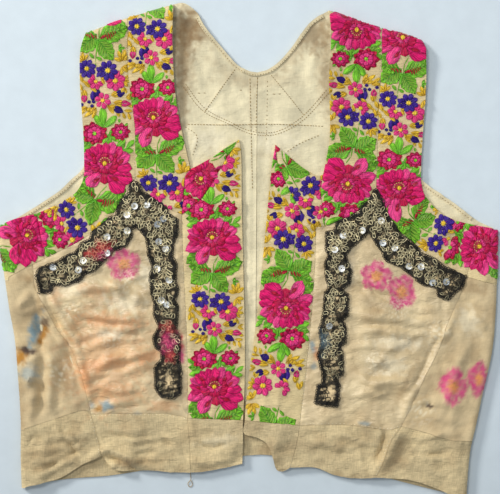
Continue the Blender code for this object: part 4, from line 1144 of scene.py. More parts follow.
def stitch_look(shapes, places):
    """(colours, thread coordinates) of the corners of triangles, each stitched as its own shape."""
    count = len(places)
    base = np.array([shape["base"] for shape in shapes])[:, None]
    tip = np.array([shape["tip"] for shape in shapes])[:, None]
    width = np.array([shape["width"] for shape in shapes])[:, None]
    inner = np.array([COLOURS[shape["inner"]] for shape in shapes])[:, None]
    outer = np.array([COLOURS[shape["outer"]] for shape in shapes])[:, None]
    slant = np.radians([shape["slant"] for shape in shapes])[:, None]
    axis = tip - base
    length = np.linalg.norm(axis, axis=2)
    way = axis / length[..., None]
    off = places - base
    along = (off * way).sum(axis=2)
    beside = off[..., 1] * way[..., 0] - off[..., 0] * way[..., 1]
    share = np.clip(0.15 + 0.6 * along / length + 0.5 * np.abs(beside) / width, 0, 1)[..., None]
    colours = np.concatenate([inner + share * (outer - inner), np.ones((count, 3, 1))], axis=2)
    lead = along * np.cos(slant) + np.abs(beside) * np.sin(slant)
    pass_by = np.where(beside < 0, -1, 1) * (np.abs(beside) * np.cos(slant) - along * np.sin(slant))
    return colours, np.stack([lead, pass_by], axis=2)


def node(tree, kind, settings=(), **sockets):
    """A shader node. Sockets are named with underscores for spaces, and take a value or a node's output."""
    made = tree.nodes.new(kind)
    for key, value in dict(settings).items():
        setattr(made, key, value)
    for name, value in sockets.items():
        socket = made.inputs[int(name[1:])] if name[0] == "_" else made.inputs[name.replace("_", " ")]
        if isinstance(value, bpy.types.NodeSocket):
            tree.links.new(value, socket)
        else:
            socket.default_value = value
    return made.outputs[0]


def maths(tree, operation, a, b=0.0):
    return node(tree, "ShaderNodeMath", {"operation": operation}, _0=a, _1=b)


def ranged(tree, value, low, high, start=0.0, end=1.0):
    return node(tree, "ShaderNodeMapRange", {}, Value=value, From_Min=start, From_Max=end,
                To_Min=low, To_Max=high)


def mixed(tree, share, a, b):
    return node(tree, "ShaderNodeMix", {"data_type": "FLOAT"}, _0=share, _2=a, _3=b)


def tinted(tree, colour, value):
    """The colour times a grey value."""
    made = tree.nodes.new("ShaderNodeMix")
    made.data_type = "RGBA"
    made.blend_type = "MULTIPLY"
    made.inputs[0].default_value = 1.0
    tree.links.new(colour, made.inputs[6])
    tree.links.new(value, made.inputs[7])
    return made.outputs[2]


def noise(tree, vector, scale, detail=2.0, stretch=(1.0, 1.0, 1.0)):
    moved = node(tree, "ShaderNodeMapping", {}, Vector=vector, Scale=stretch)
    return node(tree, "ShaderNodeTexNoise", {}, Vector=moved, Scale=scale, Detail=detail)


def new_material(name, roughness, sheen=0.0, metallic=0.0):
    material = bpy.data.materials.new(name)
    material.use_nodes = True
    tree = material.node_tree
    shader = tree.nodes["Principled BSDF"]
    shader.inputs["Roughness"].default_value = roughness
    shader.inputs["Metallic"].default_value = metallic
    shader.inputs["Sheen Weight"].default_value = sheen
    shader.inputs["Sheen Roughness"].default_value = 0.4
    return material, tree, shader


def bumped(tree, shader, *layers):
    """Relief from several heights, each with its depth in millimetres."""
    normal = None
    for height, depth in layers:
        sockets = {"Height": height, "Distance": depth * MM, "Strength": 1.0}
        if normal is not None:
            sockets["Normal"] = normal
        normal = node(tree, "ShaderNodeBump", {}, **sockets)
    tree.links.new(normal, shader.inputs["Normal"])


def thread_waves(tree, vector, pitch_across, pitch_along):
    """Rounds of woven threads: the product of two rows of waves."""
    split = node(tree, "ShaderNodeSeparateXYZ", {}, Vector=vector).node
    across = maths(tree, "SINE", maths(tree, "MULTIPLY", split.outputs[0], 2 * math.pi / pitch_across))
    along = maths(tree, "SINE", maths(tree, "MULTIPLY", split.outputs[1], 2 * math.pi / pitch_along))
    return ranged(tree, maths(tree, "MULTIPLY", across, along), 0.0, 1.0, -1.0, 1.0)


def cloth_material(name, pitch, roughness, sheen, slub, crease_depth, weave_depth, streak=(1.0, 1.0, 1.0)):
    """Woven cloth: the painted colour, uneven threads both ways, the weave's relief and fine creases."""
    material, tree, shader = new_material(name, roughness, sheen)
    flat = node(tree, "ShaderNodeUVMap", {"uv_map": "threads"})
    painted = node(tree, "ShaderNodeVertexColor", {"layer_name": "shade"})
    across = noise(tree, flat, 0.9, 2.0, (0.16, 1.0, 1.0))
    along = noise(tree, flat, 0.9, 2.0, (1.0, 0.13, 1.0))
    cloudy = noise(tree, flat, 0.05, 4.0, streak)
    threads = maths(tree, "ADD", maths(tree, "MULTIPLY", across, 0.5), maths(tree, "MULTIPLY", along, 0.5))
    uneven = ranged(tree, threads, 1.0 - slub, 1.0 + slub, 0.3, 0.7)
    clouds = ranged(tree, cloudy, 0.84, 1.13, 0.34, 0.66)
    colour = tinted(tree, tinted(tree, painted, uneven), clouds)
    tree.links.new(colour, shader.inputs["Base Color"])
    worn = ranged(tree, cloudy, roughness - 0.06, roughness + 0.10, 0.3, 0.7)
    tree.links.new(worn, shader.inputs["Roughness"])
    wrinkles = noise(tree, flat, 0.13, 4.0, (0.55, 1.0, 1.0))
    sharp = ranged(tree, maths(tree, "ABSOLUTE", maths(tree, "SUBTRACT", wrinkles, 0.5)), 1.0, 0.0, 0.0, 0.14)
    bumped(tree, shader, (sharp, crease_depth), (wrinkles, 2 * crease_depth), (threads, 2.2 * weave_depth),
           (thread_waves(tree, flat, pitch, pitch), weave_depth))
    return material


def ribbon_material():
    """Fine linen ribbon with long glossy stitches. The shade's alpha tells stitches from linen."""
    material, tree, shader = new_material("embroidered_ribbon_cloth", 0.55, 0.04)
    shader.inputs["Specular IOR Level"].default_value = 0.3
    flat = node(tree, "ShaderNodeUVMap", {"uv_map": "threads"})
    painted = node(tree, "ShaderNodeVertexColor", {"layer_name": "shade"}).node
    stitched = painted.outputs["Alpha"]
    split = node(tree, "ShaderNodeSeparateXYZ", {}, Vector=flat).node
    strands = noise(tree, flat, 0.75, 2.5, (0.16, 1.0, 1.0))
    linen = noise(tree, flat, 0.8, 2.0, (0.5, 0.5, 1.0))
    shade = mixed(tree, stitched, ranged(tree, linen, 0.93, 1.05, 0.3, 0.7),
                  ranged(tree, strands, 0.55, 1.42, 0.36, 0.64))
    tree.links.new(tinted(tree, painted.outputs["Color"], shade), shader.inputs["Base Color"])
    rough = mixed(tree, stitched, 0.8, ranged(tree, strands, 0.30, 0.52, 0.3, 0.7))
    tree.links.new(rough, shader.inputs["Roughness"])
    rows = maths(tree, "SINE", maths(tree, "MULTIPLY", split.outputs[1], 2 * math.pi / STITCH_PITCH))
    rows = ranged(tree, rows, 0.0, 1.0, -1.0, 1.0)
    relief = mixed(tree, stitched, thread_waves(tree, flat, 0.7, 0.7), maths(tree, "ADD", rows, strands))
    bumped(tree, shader, (strands, 0.9), (relief, 0.16))
    return material


def metal_material(name, metallic, roughness):
    """Wound metal thread that has tarnished unevenly."""
    material, tree, shader = new_material(name, roughness, 0.0, metallic)
    painted = node(tree, "ShaderNodeVertexColor", {"layer_name": "shade"})
    place = node(tree, "ShaderNodeTexCoord").node.outputs["Object"]
    tarnish = noise(tree, place, 260.0, 3.0)
    metal_light = ranged(tree, tarnish, 0.45, 1.5, 0.3, 0.7)
    tree.links.new(tinted(tree, painted, metal_light), shader.inputs["Base Color"])
    metal_rough = ranged(tree, tarnish, roughness - 0.12, roughness + 0.2, 0.3, 0.7)
    tree.links.new(metal_rough, shader.inputs["Roughness"])
    bumped(tree, shader, (noise(tree, place, 2600.0, 1.0), 0.12))
    return material


STITCH_PITCH = 0.5
MATERIALS = {
    "satin": cloth_material("satin_cloth", 0.35, 0.34, 0.08, 0.05, 0.38, 0.03, (1.0, 0.45, 1.0)),
    "hem": cloth_material("hem_linen_cloth", 0.55, 0.70, 0.10, 0.24, 0.45, 0.12, (0.4, 1.0, 1.0)),
    "back": cloth_material("back_linen_cloth", 0.55, 0.80, 0.10, 0.08, 0.20, 0.06, (1.0, 0.5, 1.0)),
    "ribbon": ribbon_material(),
    "metal": metal_material("metal_thread", 0.55, 0.42),
    # The net's material, coloured as painted shade between the wires
    "ground": metal_material("ornament_shade_ground", 0.0, 0.85),
    "sequin": metal_material("sequin_pearl", 0.15, 0.28),
    "sewing": metal_material("sewing_thread", 0.0, 0.8),
}


# Stains of the upper layer: across, up, half-width, half-height, turn, hue, strength
STAINS = (
    (-153, -40, 26, 9, -12, "orange_stain", 0.35), (-138, -70, 40, 8, -6, "orange_stain", 0.55),
    (-150, -88, 30, 7, 10, "orange_stain", 0.25), (-150, -114, 36, 10, 12, "orange_stain", 0.55),
    (-99, -106, 20, 9, 18, "orange_stain", 0.6), (-163, -127, 7, 16, 12, "orange_stain", 0.75),
    (-138, -141, 36, 12, 0, "orange_stain", 0.38), (-84, -155, 20, 7, 0, "orange_stain", 0.42),
    # This broad brown patch darkens the hems towards the far left
    (-195, -200, 40, 30, 0, "brown_dirt_and_shade", 0.2),
    (-140, -104, 60, 66, 0, "orange_stain", 0.38),
    (-228, -160, 6, 60, 0, "brown_dirt_and_shade", 0.3),
    (-192, -46, 8, 14, 10, "orange_stain", 0.35), (-148, 6, 30, 9, 33, "pink_stain", 0.55),
    (-168, -190, 16, 5, 10, "brown_dirt_and_shade", 0.22), (-120, -213, 12, 7, 5, "dark_stain", 0.35),
    (-205, -216, 18, 5, 25, "brown_dirt_and_shade", 0.4), (150, -200, 7, 16, -20, "brown_dirt_and_shade", 0.35),
    (-206, -60, 5, 40, 12, "brown_dirt_and_shade", 0.4), (-183, -130, 5, 34, 12, "brown_dirt_and_shade", 0.35),
    (158, -132, 5, 40, -28, "brown_dirt_and_shade", 0.28), (226, -110, 7, 40, 0, "brown_dirt_and_shade", 0.28),
    (-140, -3, 20, 6, 35, "red_stain", 0.35), (-69, -96, 6, 20, 0, "red_stain", 0.85),
    (-67, -104, 5, 14, 0, "pink_stain", 0.8), (-141, -155, 9, 7, -30, "blue_stain", 0.85),
    (-149, -158, 7, 4, 20, "rust_stain", 0.85), (-156, -155, 4, 5, 0, "blue_stain", 0.6),
    (-110, -161, 6, 2.4, 0, "blue_stain", 0.55), (-205, -83, 6, 15, -22, "rust_stain", 1.0),
    (-213, -80, 7, 22, -12, "blue_stain", 0.95), (-202, -72, 7, 8, 0, "dark_stain", 0.75),
    (-221, -100, 13, 6, -20, "dark_stain", 1.0), (-228, -106, 10, 10, 0, "rust_stain", 1.0),
    (-218, -122, 13, 12, 0, "blue_stain", 0.6), (-220, -28, 8, 8, 0, "brown_dirt_and_shade", 0.6),
    (-121, -211, 16, 6, 5, "brown_dirt_and_shade", 0.5), (-98, -210, 20, 5, 10, "brown_dirt_and_shade", 0.2),
    (-190, -120, 14, 20, 10, "brown_dirt_and_shade", 0.14), (-175, -35, 20, 14, 10, "pale_stain", 0.3),
    (-124, -52, 26, 14, -10, "pale_stain", 0.55), (-100, -24, 12, 20, 0, "pale_stain", 0.45),
    (-140, -84, 18, 6, 0, "pale_stain", 0.5), (226, -38, 18, 8, -8, "brown_dirt_and_shade", 0.42),
    (65, -97, 5, 8, 0, "blue_stain", 0.8), (69, -104, 6, 8, 0, "orange_stain", 0.9),
    (65, -115, 4, 6, 0, "blue_stain", 0.6), (78, -112, 5, 6, 0, "blue_stain", 0.4),
    (117, -172.5, 7, 3, 0, "blue_stain", 0.65), (180, -155.5, 4.5, 2.6, -15, "dark_stain", 0.95),
    (174, -147, 9, 4, 30, "brown_dirt_and_shade", 0.3), (126, -58, 12, 7, 0, "brown_dirt_and_shade", 0.2),
    (165, -172, 20, 5, 0, "brown_dirt_and_shade", 0.22), (100, -22, 10, 22, 0, "pale_stain", 0.4),
    (150, -92, 34, 9, -5, "pale_stain", 0.5), (220, -70, 14, 20, 30, "pale_stain", 0.45),
    (140, -115, 26, 12, 0, "pale_stain", 0.4), (86, -228, 60, 8, 0, "brown_dirt_and_shade", 0.18),
    (150, -212, 20, 8, 0, "brown_dirt_and_shade", 0.22), (18, -200, 12, 10, 40, "brown_dirt_and_shade", 0.25),
    (20, -222, 40, 8, 0, "brown_dirt_and_shade", 0.35), (-30, -190, 26, 8, 10, "pale_stain", 0.25),
)
# Stains of the lining, in the same columns. The brown patches near the straps' ends and along the neck are
# partly dirt and partly painted shadow of the straps; the pale ones lighten it lower down
LINING_STAINS_AND_SHADE = (
    (-58, 222, 22, 26, 0, "brown_dirt_and_shade", 0.75), (-66, 200, 12, 46, 0, "brown_dirt_and_shade", 0.6),
    (-40, 222, 24, 18, -40, "brown_dirt_and_shade", 0.5), (-66, 150, 9, 40, 0, "brown_dirt_and_shade", 0.5),
    (66, 216, 26, 24, 20, "brown_dirt_and_shade", 0.62), (40, 196, 18, 28, -35, "brown_dirt_and_shade", 0.34),
    (78, 170, 9, 40, 0, "brown_dirt_and_shade", 0.4), (10, 170, 60, 10, 0, "brown_dirt_and_shade", 0.22),
    (-20, 178, 40, 7, -35, "brown_dirt_and_shade", 0.2), (4, 150, 5, 34, 0, "brown_dirt_and_shade", 0.16),
    (-34, 138, 26, 5, -30, "pale_stain", 0.4), (30, 110, 30, 22, 0, "pale_stain", 0.5),
    (-40, 110, 24, 18, 0, "pale_stain", 0.5), (14, 96, 16, 5, 0, "brown_dirt_and_shade", 0.18),
    (-37, 103, 4, 3, 20, "brown_dirt_and_shade", 0.3), (-34, 112, 3, 2, 0, "brown_dirt_and_shade", 0.25),
    (-14, 92, 5, 4, 0, "brown_dirt_and_shade", 0.12), (44, 118, 5, 3, 0, "brown_dirt_and_shade", 0.15),
    (-62, 190, 14, 60, 0, "brown_dirt_and_shade", 0.30), (74, 190, 10, 60, 0, "brown_dirt_and_shade", 0.22),
)
# Dyed flowers that have faded: across, up, half-width, half-height, turn, petals
BLOSSOMS = (
    (-124, -13.5, 17, 16, 25, 5), (128, -25.5, 16, 15, 10, 5), (153.5, -41, 14.5, 18, 60, 4),
    (204.5, -135.5, 14, 19, 80, 4), (230, -128, 11, 18, 75, 4),
)
# Worn places where short threads have come loose: across, up, reach
WORN = ((-186, -122, 14), (-136, -86, 10), (-176, -60, 8), (-120, -30, 12), (128, -112, 11), (190, -82, 12),
        (172, -160, 12), (150, -60, 10))


def upper_paint(hue, light):
    """A paint for cloth of the upper layer, with its stains and faded flowers."""

    def paint(places, flat):
        x, y = places[:, 0], places[:, 1]
        colours = shades(hue, len(places))
        share = np.clip(0.5 + 0.5 * ripple(x, y, 34.0, 12), 0, 1)
        dye(colours, 0.6 * share, light)
        dirt = np.clip(0.1 + 0.5 * ripple(x, y, 46.0, 13) + 0.3 * ripple(x, y, 17.0, 14), 0, 0.8)
        dye(colours, 0.4 * dirt, "brown_dirt_and_shade")
        stained_and_shaded(colours, x, y, STAINS)
        for row in BLOSSOMS:
            blossom(colours, x, y, *row)
        for across, up, reach in WORN:
            near = np.exp(-(((x - across) ** 2 + (y - up) ** 2) / reach**2))
            loose = near * (np.abs(ripple(x, y, 3.2, 61)) < 0.22)
            dye(colours, 0.55 * loose, "pale_stain")
        return colours

    return paint


def lining_paint(places, flat):
    colours = shades("back", len(places))
    # The brown patches near the top are partly painted shadow of the straps
    return stained_and_shaded(colours, places[:, 0], places[:, 1], LINING_STAINS_AND_SHADE)


def ribbon_paint(places, flat):
    colours = shades("ribbon", len(places))
    share = np.clip(0.5 * ripple(places[:, 0], places[:, 1], 26.0, 71), 0, 1)
    dye(colours, 0.35 * share, "brown_dirt_and_shade")
    # The lining's stains, with their painted shadow of the straps, fall on the ribbon too
    return stained_and_shaded(colours, places[:, 0], places[:, 1], LINING_STAINS_AND_SHADE)


def declare(obj, cad_node, loop):
    """Rides, and replaces its solid; the outline's area is worked out but not kept."""
    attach(obj, "root")
    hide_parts(cad_node)
    area_of(loop) * MM**2
    return obj


FRONT_PIECES = {
    "shoulder_band": ("shoulder_outer", "strap_seam", "-strap_foot", "-strap_edge"),
    "neck_band": ("shoulder_inner", "neck_edge", "notch_seam", "-yoke_seam", "-strap_seam"),
    "armhole_band": ("strap_foot", "armhole_seam", "-band_side_seam", "-armhole_edge"),
    "front_band": ("mitre", "band_seam", "band_foot", "-centre_edge"),
    "lapel_band": ("lapel_edge", "mitre", "lapel_foot", "-notch_seam"),
    "front_hem": ("hem_seam", "side_hem_seam", "front_hem", "-band_hem_seam"),
    "front_band_hem": ("band_foot", "centre_hem", "-band_hem", "-band_hem_seam"),
}
BAND_STEP = 1.6
SATIN_STEP = 1.9
# The satin is finer than that under a dyed flower
FINE_STEP = 1.2
LINEN_STEP = 2.4
BACK_STEP = 2.5
hem_paint = upper_paint("hem", "hem")
satin_paint = upper_paint("satin", "satin_light")
outside_paint = upper_paint("outside", "satin")


def embroidered_wall(name, side, piece, loop, place, paint, stitched="high", to_pattern=None):
    """A piece of ribbon with the embroidery that falls on it."""
    shapes = []
    for way in BAND_WAYS[piece]:
        shapes += laid_repeat(RIBBON_WAYS[f"{side}_{way}"], REPEAT_SHAPES)
    box_low, box_high = loop.min(axis=0) - 2, loop.max(axis=0) + 2
    kept = []
    for shape in shapes:
        if worn_away(shape):
            continue
        if to_pattern:
            shape = {**shape, **{
                key: to_pattern(np.atleast_2d(shape[key])) for key in ("outline", "base", "tip")
            }}
            shape["base"], shape["tip"] = shape["base"][0], shape["tip"][0]
        outline = shape["outline"]
        if (outline.max(axis=0) > box_low).all() and (outline.min(axis=0) < box_high).all():
            kept.append({**shape, "outline": outline if area_of(outline) > 0 else outline[::-1]})
    flat, faces, tops = fill(loop, BAND_STEP, [shape["outline"] for shape in kept])
    return wall(name, MATERIALS["ribbon"], flat, faces, place, -HALF, HALF, paint, tops=tops, shapes=kept,
                stitched=stitched)


def ornament_outline(side):
    """The ornament's notched outline with even steps."""
    places = np.array(APPLIQUE_OUTLINES[side], float)
    return loop_of(spaced(np.concatenate([places, places[:1]]), 1.3))


def ornament_paint(places, flat):
    """Net under the metal thread: the satin in painted shade between the wires, black along its edges and its
    blackened ends.
    """
    x, y = places[:, 0], places[:, 1]
    colours = shades("satin", len(places))
    side = "left" if x.mean() < 0 else "right"
    rim = APPLIQUE_OUTLINES[side]
    from_edge = nearest_on((*rim, rim[0]), x, y)[0]
    satin = np.clip(0.05 + 2.2 * open_net(side, x, y), 0, 0.92) * np.clip((from_edge - 2) / 2.5, 0, 1)
    # Painted shade: where the net is not worn open it goes nearly black, for the satin shaded between the
    # wires, and fully black within 2 mm of the edge for the cord
    dye(colours, 0.97 - satin, "dark_metal_and_shade")
    return stained_and_shaded(colours, x, y, METAL_STAINS)


def build_front(side):
    """One front: its cloths, its ornament and its sewing."""
    table = {"lapel_foot": LINES[side]["notch_seam"][-1:] * 2, "seam_step": (), **LINES[side]}

    def place(flat):
        return front_place(side, flat)

    for piece, names in FRONT_PIECES.items():
        names = [name for name in names if name.lstrip("-") in LINES[side]]
        loop = inset(loop_of(front_pattern(side, line(table, *names))), SEAM_GAP / 2)
        name = f"{side}_{piece}_cloth"
        if piece in BAND_WAYS:
            obj = embroidered_wall(name, side, piece, loop, place, ribbon_paint)
        else:
            flat, faces, _ = fill(loop, LINEN_STEP)
            obj = wall(name, MATERIALS["hem"], flat, faces, place, -HALF, HALF, hem_paint)
        declare(obj, f"{side}_{piece}", loop)
    names = ["armhole_seam", "seam_step", "-side_seam", "-hem_seam", "-band_seam", "lapel_foot", "-yoke_seam"]
    names = [name for name in names if name.lstrip("-") in LINES[side]]
    loop = inset(loop_of(line(table, *names)), SEAM_GAP / 2)
    outline = ornament_outline(side)
    grid = lattice(loop, FINE_STEP)
    fine = [grid[np.hypot(*((grid - row[:2]) / (row[2] + 3, row[3] + 3)).T) < 1]
            for row in BLOSSOMS if (row[0] < 0) == (side == "left")]
    flat, faces, owners = fill(loop, SATIN_STEP, [outline], np.concatenate(fine))
    satin = wall(f"{side}_satin_cloth", MATERIALS["satin"], flat, faces, place, -HALF, HALF, satin_paint)
    # The net: a dark sheet of painted shade between the wires, and the black cord along the ornament's edge
    low = HALF + SEAM_GAP
    net = wall(f"{side}_ornament_shade_net", MATERIALS["ground"], flat, faces[owners > 0], place, low, low + NET,
               ornament_paint)
    ornament = [net, build_metal_thread(side, outline), build_sequins(side, outline)]
    sewing = build_front_sewing(side)
    for piece in ornament:
        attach(piece, "root")
        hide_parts(f"{side}_applique")
    declare(satin, f"{side}_front_satin", loop)


def build_band_tail(side):
    """The end of the armhole band beyond the side seam, which turns over the side fold."""
    table = LINES[side]
    edge = upper_pattern(side, line(table, "tail_edge"))
    seam = upper_pattern(side, line(table, "tail_seam"))
    top, bottom = edge[-1][1], seam[-1][1]
    step = [upper_pattern(side, line(table, "-seam_step"))] if "seam_step" in table else []
    loop = loop_of(
        edge,
        turn_line(side, top)[::-1],
        [(side_roll(side, top)[0], top)],
        floor_line(side, top, bottom),
        [(side_roll(side, bottom)[0], bottom)],
        turn_line(side, bottom),
        seam[::-1],
        *step,
        upper_pattern(side, line(table, "-band_side_seam")),
    )
    loop = inset(loop, SEAM_GAP / 2)
    obj = embroidered_wall(f"{side}_armhole_band_tail_cloth", side, "armhole_band_tail", loop, back_place,
                           ribbon_paint, "low", lambda points: upper_pattern(side, points, stop=False))
    declare(obj, f"{side}_armhole_band_tail", loop)


def build_back_half(side):
    """Half of the back, from the centre seam, over the side fold and on to the side seam."""
    table = LINES[side]
    top = table["tail_edge"][-1][1]
    bottom = table["tail_seam"][-1][1]
    hem = table["side_hem_top"][-1][1]
    loop = loop_of(
        lower_pattern(line(BACK_LINES, f"{side}_neck", f"{side}_shoulder", f"{side}_armhole")),
        floor_line(side, top, bottom),
        [(side_roll(side, bottom)[0], bottom)],
        turn_line(side, bottom),
        upper_pattern(side, line(table, "-tail_seam")),
        upper_pattern(side, line(table, "-side_seam", "side_hem_top")),
        turn_line(side, hem)[::-1],
        lower_pattern(line(BACK_LINES, f"-{side}_hem_seam")),
        line(BACK_LINES, "-centre_seam"),
    )
    loop = inset(loop, SEAM_GAP / 2)
    flat, faces, _ = fill(loop, BACK_STEP)
    obj = wall(f"{side}_back_cloth", MATERIALS["back"], flat, faces, back_place, -HALF, HALF, lining_paint,
               outside_paint)
    return declare(obj, f"{side}_back", loop)


def build_back_hem():
    """The hem band of the whole back, which turns over both side folds."""
    stretches = []
    for side in ("left", "right"):
        table = LINES[side]
        top, bottom = table["side_hem_top"][-1][1], table["side_hem"][-1][1]
        stretches.append([
            lower_pattern(line(BACK_LINES, f"{side}_hem_seam")),
            turn_line(side, top),
            upper_pattern(side, line(table, "-side_hem_top", "side_hem_seam", "side_hem")),
            turn_line(side, bottom)[::-1],
            lower_pattern(line(BACK_LINES, f"-{side}_hem")),
        ])
    left, right = stretches
    mirrored = [stretch[::-1] for stretch in reversed(left)]
    loop = inset(loop_of(*right, *mirrored), SEAM_GAP / 2)
    flat, faces, _ = fill(loop, LINEN_STEP)
    obj = wall("back_hem_cloth", MATERIALS["hem"], flat, faces, back_place, -HALF, HALF, hem_paint)
    declare(obj, "back_hem_band", loop)


def strip_along(points, width):
    """A narrow strip on one side of a line: to the right of its direction if the width is positive."""
    return loop_of(points, strip_middle(points, width)[::-1])


def build_bindings():
    """Narrow bindings sewn on the back's inner face, along the neck and the armholes."""
    neck = neck_run()
    lines = {"back_neck_binding": (neck, BINDING_WIDTH)}
    for side, sign in SIGNS.items():
        lines[f"{side}_armhole_binding"] = (armhole_run(side), sign * BINDING_WIDTH)
    low = HALF + SEAM_GAP
    made = {}
    for name, (points, width) in lines.items():
        loop = inset(strip_along(points, width), SEAM_GAP / 2)
        flat, faces, _ = fill(loop, 2.0)
        obj = wall(f"{name}_cloth", MATERIALS["back"], flat, faces, back_place, low, low + BINDING,
                   binding_paint)
        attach(obj, "root")
        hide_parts(name)
        made[name] = obj
    return made


def binding_paint(places, flat):
    return shades("binding", len(places))


# The photograph takes in this width, with this place at its middle, from straight above
PHOTO_WIDTH = 500.0
PHOTO_MIDDLE = (2.0, 3.5)
CAMERA_HEIGHT = 2.4


def build_stage():
    """A plain pale floor, soft studio light and the camera straight above."""
    size = 3000.0
    floor = mesh_object("floor", [(-size, -size, -0.3), (size, -size, -0.3), (size, size, -0.3),
                                  (-size, size, -0.3)], [(0, 1, 2), (0, 2, 3)], floor_material(), sharp=0)
    scene = bpy.context.scene
    world = bpy.data.worlds.new("studio")
    world.use_nodes = True
    world.node_tree.nodes["Background"].inputs["Color"].default_value = (0.86, 0.93, 1.0, 1)
    world.node_tree.nodes["Background"].inputs["Strength"].default_value = 0.43
    scene.world = world
    scene.view_settings.view_transform = "Standard"
    for name, place, width, energy in (("key_light", (-2.8, 2.0, 1.9), 0.8, 112.0),
                                       ("soft_box", (-1.1, 1.2, 3.6), 0.9, 46.0),
                                       ("fill_light", (2.2, -1.0, 3.6), 3.0, 8.0)):
        light = bpy.data.lights.new(name, "AREA")
        light.size = width
        light.energy = energy
        light.color = (1.0, 0.97, 0.92)
        lamp = bpy.data.objects.new(name, light)
        lamp.location = place
        lamp.rotation_euler = (-Vector(place)).to_track_quat("-Z", "Y").to_euler()
        scene.collection.objects.link(lamp)
    camera = bpy.data.cameras.new("camera")
    camera.sensor_width = 36.0
    camera.lens = camera.sensor_width * CAMERA_HEIGHT / (PHOTO_WIDTH * MM)
    camera.clip_end = 20.0
    eye = bpy.data.objects.new("camera", camera)
    eye.location = (PHOTO_MIDDLE[0] * MM, PHOTO_MIDDLE[1] * MM, CAMERA_HEIGHT)
    scene.collection.objects.link(eye)
    scene.camera = eye


def floor_material():
    """A painted table with a faint grain, and painted shade that darkens it towards negative Y."""
    material, tree, shader = new_material("floor_paint", 0.7)
    place = node(tree, "ShaderNodeTexCoord").node.outputs["Object"]
    grain = noise(tree, place, 60.0, 4.0)
    colour = node(tree, "ShaderNodeRGB")
    colour.default_value = (*COLOURS["floor"], 1)
    # Painted shade: the floor darkens by up to a sixth towards negative Y, from -0.04 m to -0.25 m
    up = node(tree, "ShaderNodeSeparateXYZ", Vector=place).node.outputs["Y"]
    light = maths(tree, "MULTIPLY", ranged(tree, grain, 0.97, 1.02, 0.3, 0.7),
                  ranged(tree, up, 0.84, 1.0, -0.25, -0.04))
    tree.links.new(tinted(tree, colour, light), shader.inputs["Base Color"])
    bumped(tree, shader, (noise(tree, place, 900.0, 2.0), 0.05))
    return material


# The ornament's net, a dark sheet of painted shade under the wires, stands this high, and its metal threads
# are this thick
NET = 0.6
METAL_THREAD = 0.42
# Below this height, and farther out than this, the metal of each ornament has blackened
TARNISHED_ENDS = {"left": (-92, 190), "right": (-100, 186)}
# Dye that has run into the metal: across, up, half-width, half-height, turn, hue, strength
METAL_STAINS = (
    (-150, 0, 20, 9, 35, "red_stain", 0.7), (-143, -3, 10, 6, 30, "pink_stain", 0.6),
    (-81, -78, 10, 9, 0, "red_stain", 0.6), (-80, -92, 10, 16, 0, "pink_stain", 0.85),
    (-78, -105, 8, 9, 0, "red_stain", 0.6), (76, -90, 7, 16, 0, "blue_stain", 0.5),
)
# Middles of the sequins
SEQUINS = {
    "left": ((-141, 13.5), (-140.6, -2.5), (-163.4, -9.8), (-194.5, -16.8), (-169, -19.5), (-120.7, 20.1),
             (-113.3, 44), (-100.5, 44.8), (-120.5, 35.5), (-91, 26.5), (-85.4, 30.5), (-89.4, 9.8),
             (-82.2, 1.5),
             (-90.2, -19), (-79, -28.9), (-86.6, -49.5), (-81, -54.5)),
    "right": ((132.7, 29.5), (115.5, 19.8), (94.8, 14.9), (134.9, 6.8), (146.4, 2), (160, -15.1),
              (172, -16.5),
              (86.5, 0.5), (92.9, -17.5), (184.6, -31.5), (197.3, -31.5), (80, -74.5)),
}
SEQUIN_RADIUS = 3.4
# Middle of the worn opening in the foot of each ornament
OPEN_FEET = {"left": (-79, -128), "right": (83, -143)}
# A thread's end that hangs out of the hem, with a small loop
LOOSE_THREAD = ((-57, -216), (-57.4, -224), (-57.2, -229), (-60, -233), (-58.4, -236.4),
                (-55.6, -234.4), (-56.6, -230))


def tube(points, radius, sides=4, closed=False):
    """(places, faces) of a thread along a line in space."""
    points = np.asarray(points, float)
    if closed:
        ahead = np.roll(points, -1, axis=0) - np.roll(points, 1, axis=0)
    else:
        ahead = np.gradient(points, axis=0)
    ahead /= np.maximum(np.linalg.norm(ahead, axis=1), 1e-9)[:, None]
    up = np.where(np.abs(ahead[:, 2:]) < 0.9, (0.0, 0.0, 1.0), (1.0, 0.0, 0.0))
    across = np.cross(up, ahead)
    across /= np.linalg.norm(across, axis=1)[:, None]
    up = np.cross(ahead, across)
    turns = 2 * math.pi * (np.arange(sides) + 0.5) / sides
    ring = np.cos(turns)[None, :, None] * across[:, None] + np.sin(turns)[None, :, None] * up[:, None]
    radii = np.broadcast_to(radius, len(points))[:, None, None]
    places = (points[:, None] + radii * ring).reshape(-1, 3)
    count = len(points)
    rows = np.arange(count if closed else count - 1)[:, None]
    side = np.arange(sides)[None, :]
    after, beside = (rows + 1) % count, (side + 1) % sides
    corners = [rows * sides + side, rows * sides + beside, after * sides + beside, after * sides + side]
    a, b, c, d = (corner.reshape(-1) for corner in corners)
    faces = [np.stack([a, b, c], 1), np.stack([a, c, d], 1)]
    if not closed:
        fan = np.arange(1, sides - 1)
        faces.append(np.stack([0 * fan, fan + 1, fan], 1))
        faces.append(np.stack([0 * fan, fan, fan + 1], 1) + (count - 1) * sides)
    return places, np.concatenate(faces)


def joined(name, material, parts):
    """One mesh of many small pieces, each (places, faces, colour)."""
    faces, shade, first = [], [], 0
    for places, own, colour in parts:
        faces.append(own + first)
        shade.append(np.tile([*colour, 1.0], (3 * len(own), 1)))
        first += len(places)
    points = np.concatenate([places for places, _, _ in parts])
    return mesh_object(name, points, np.concatenate(faces), material, None, np.concatenate(shade), sharp=60)


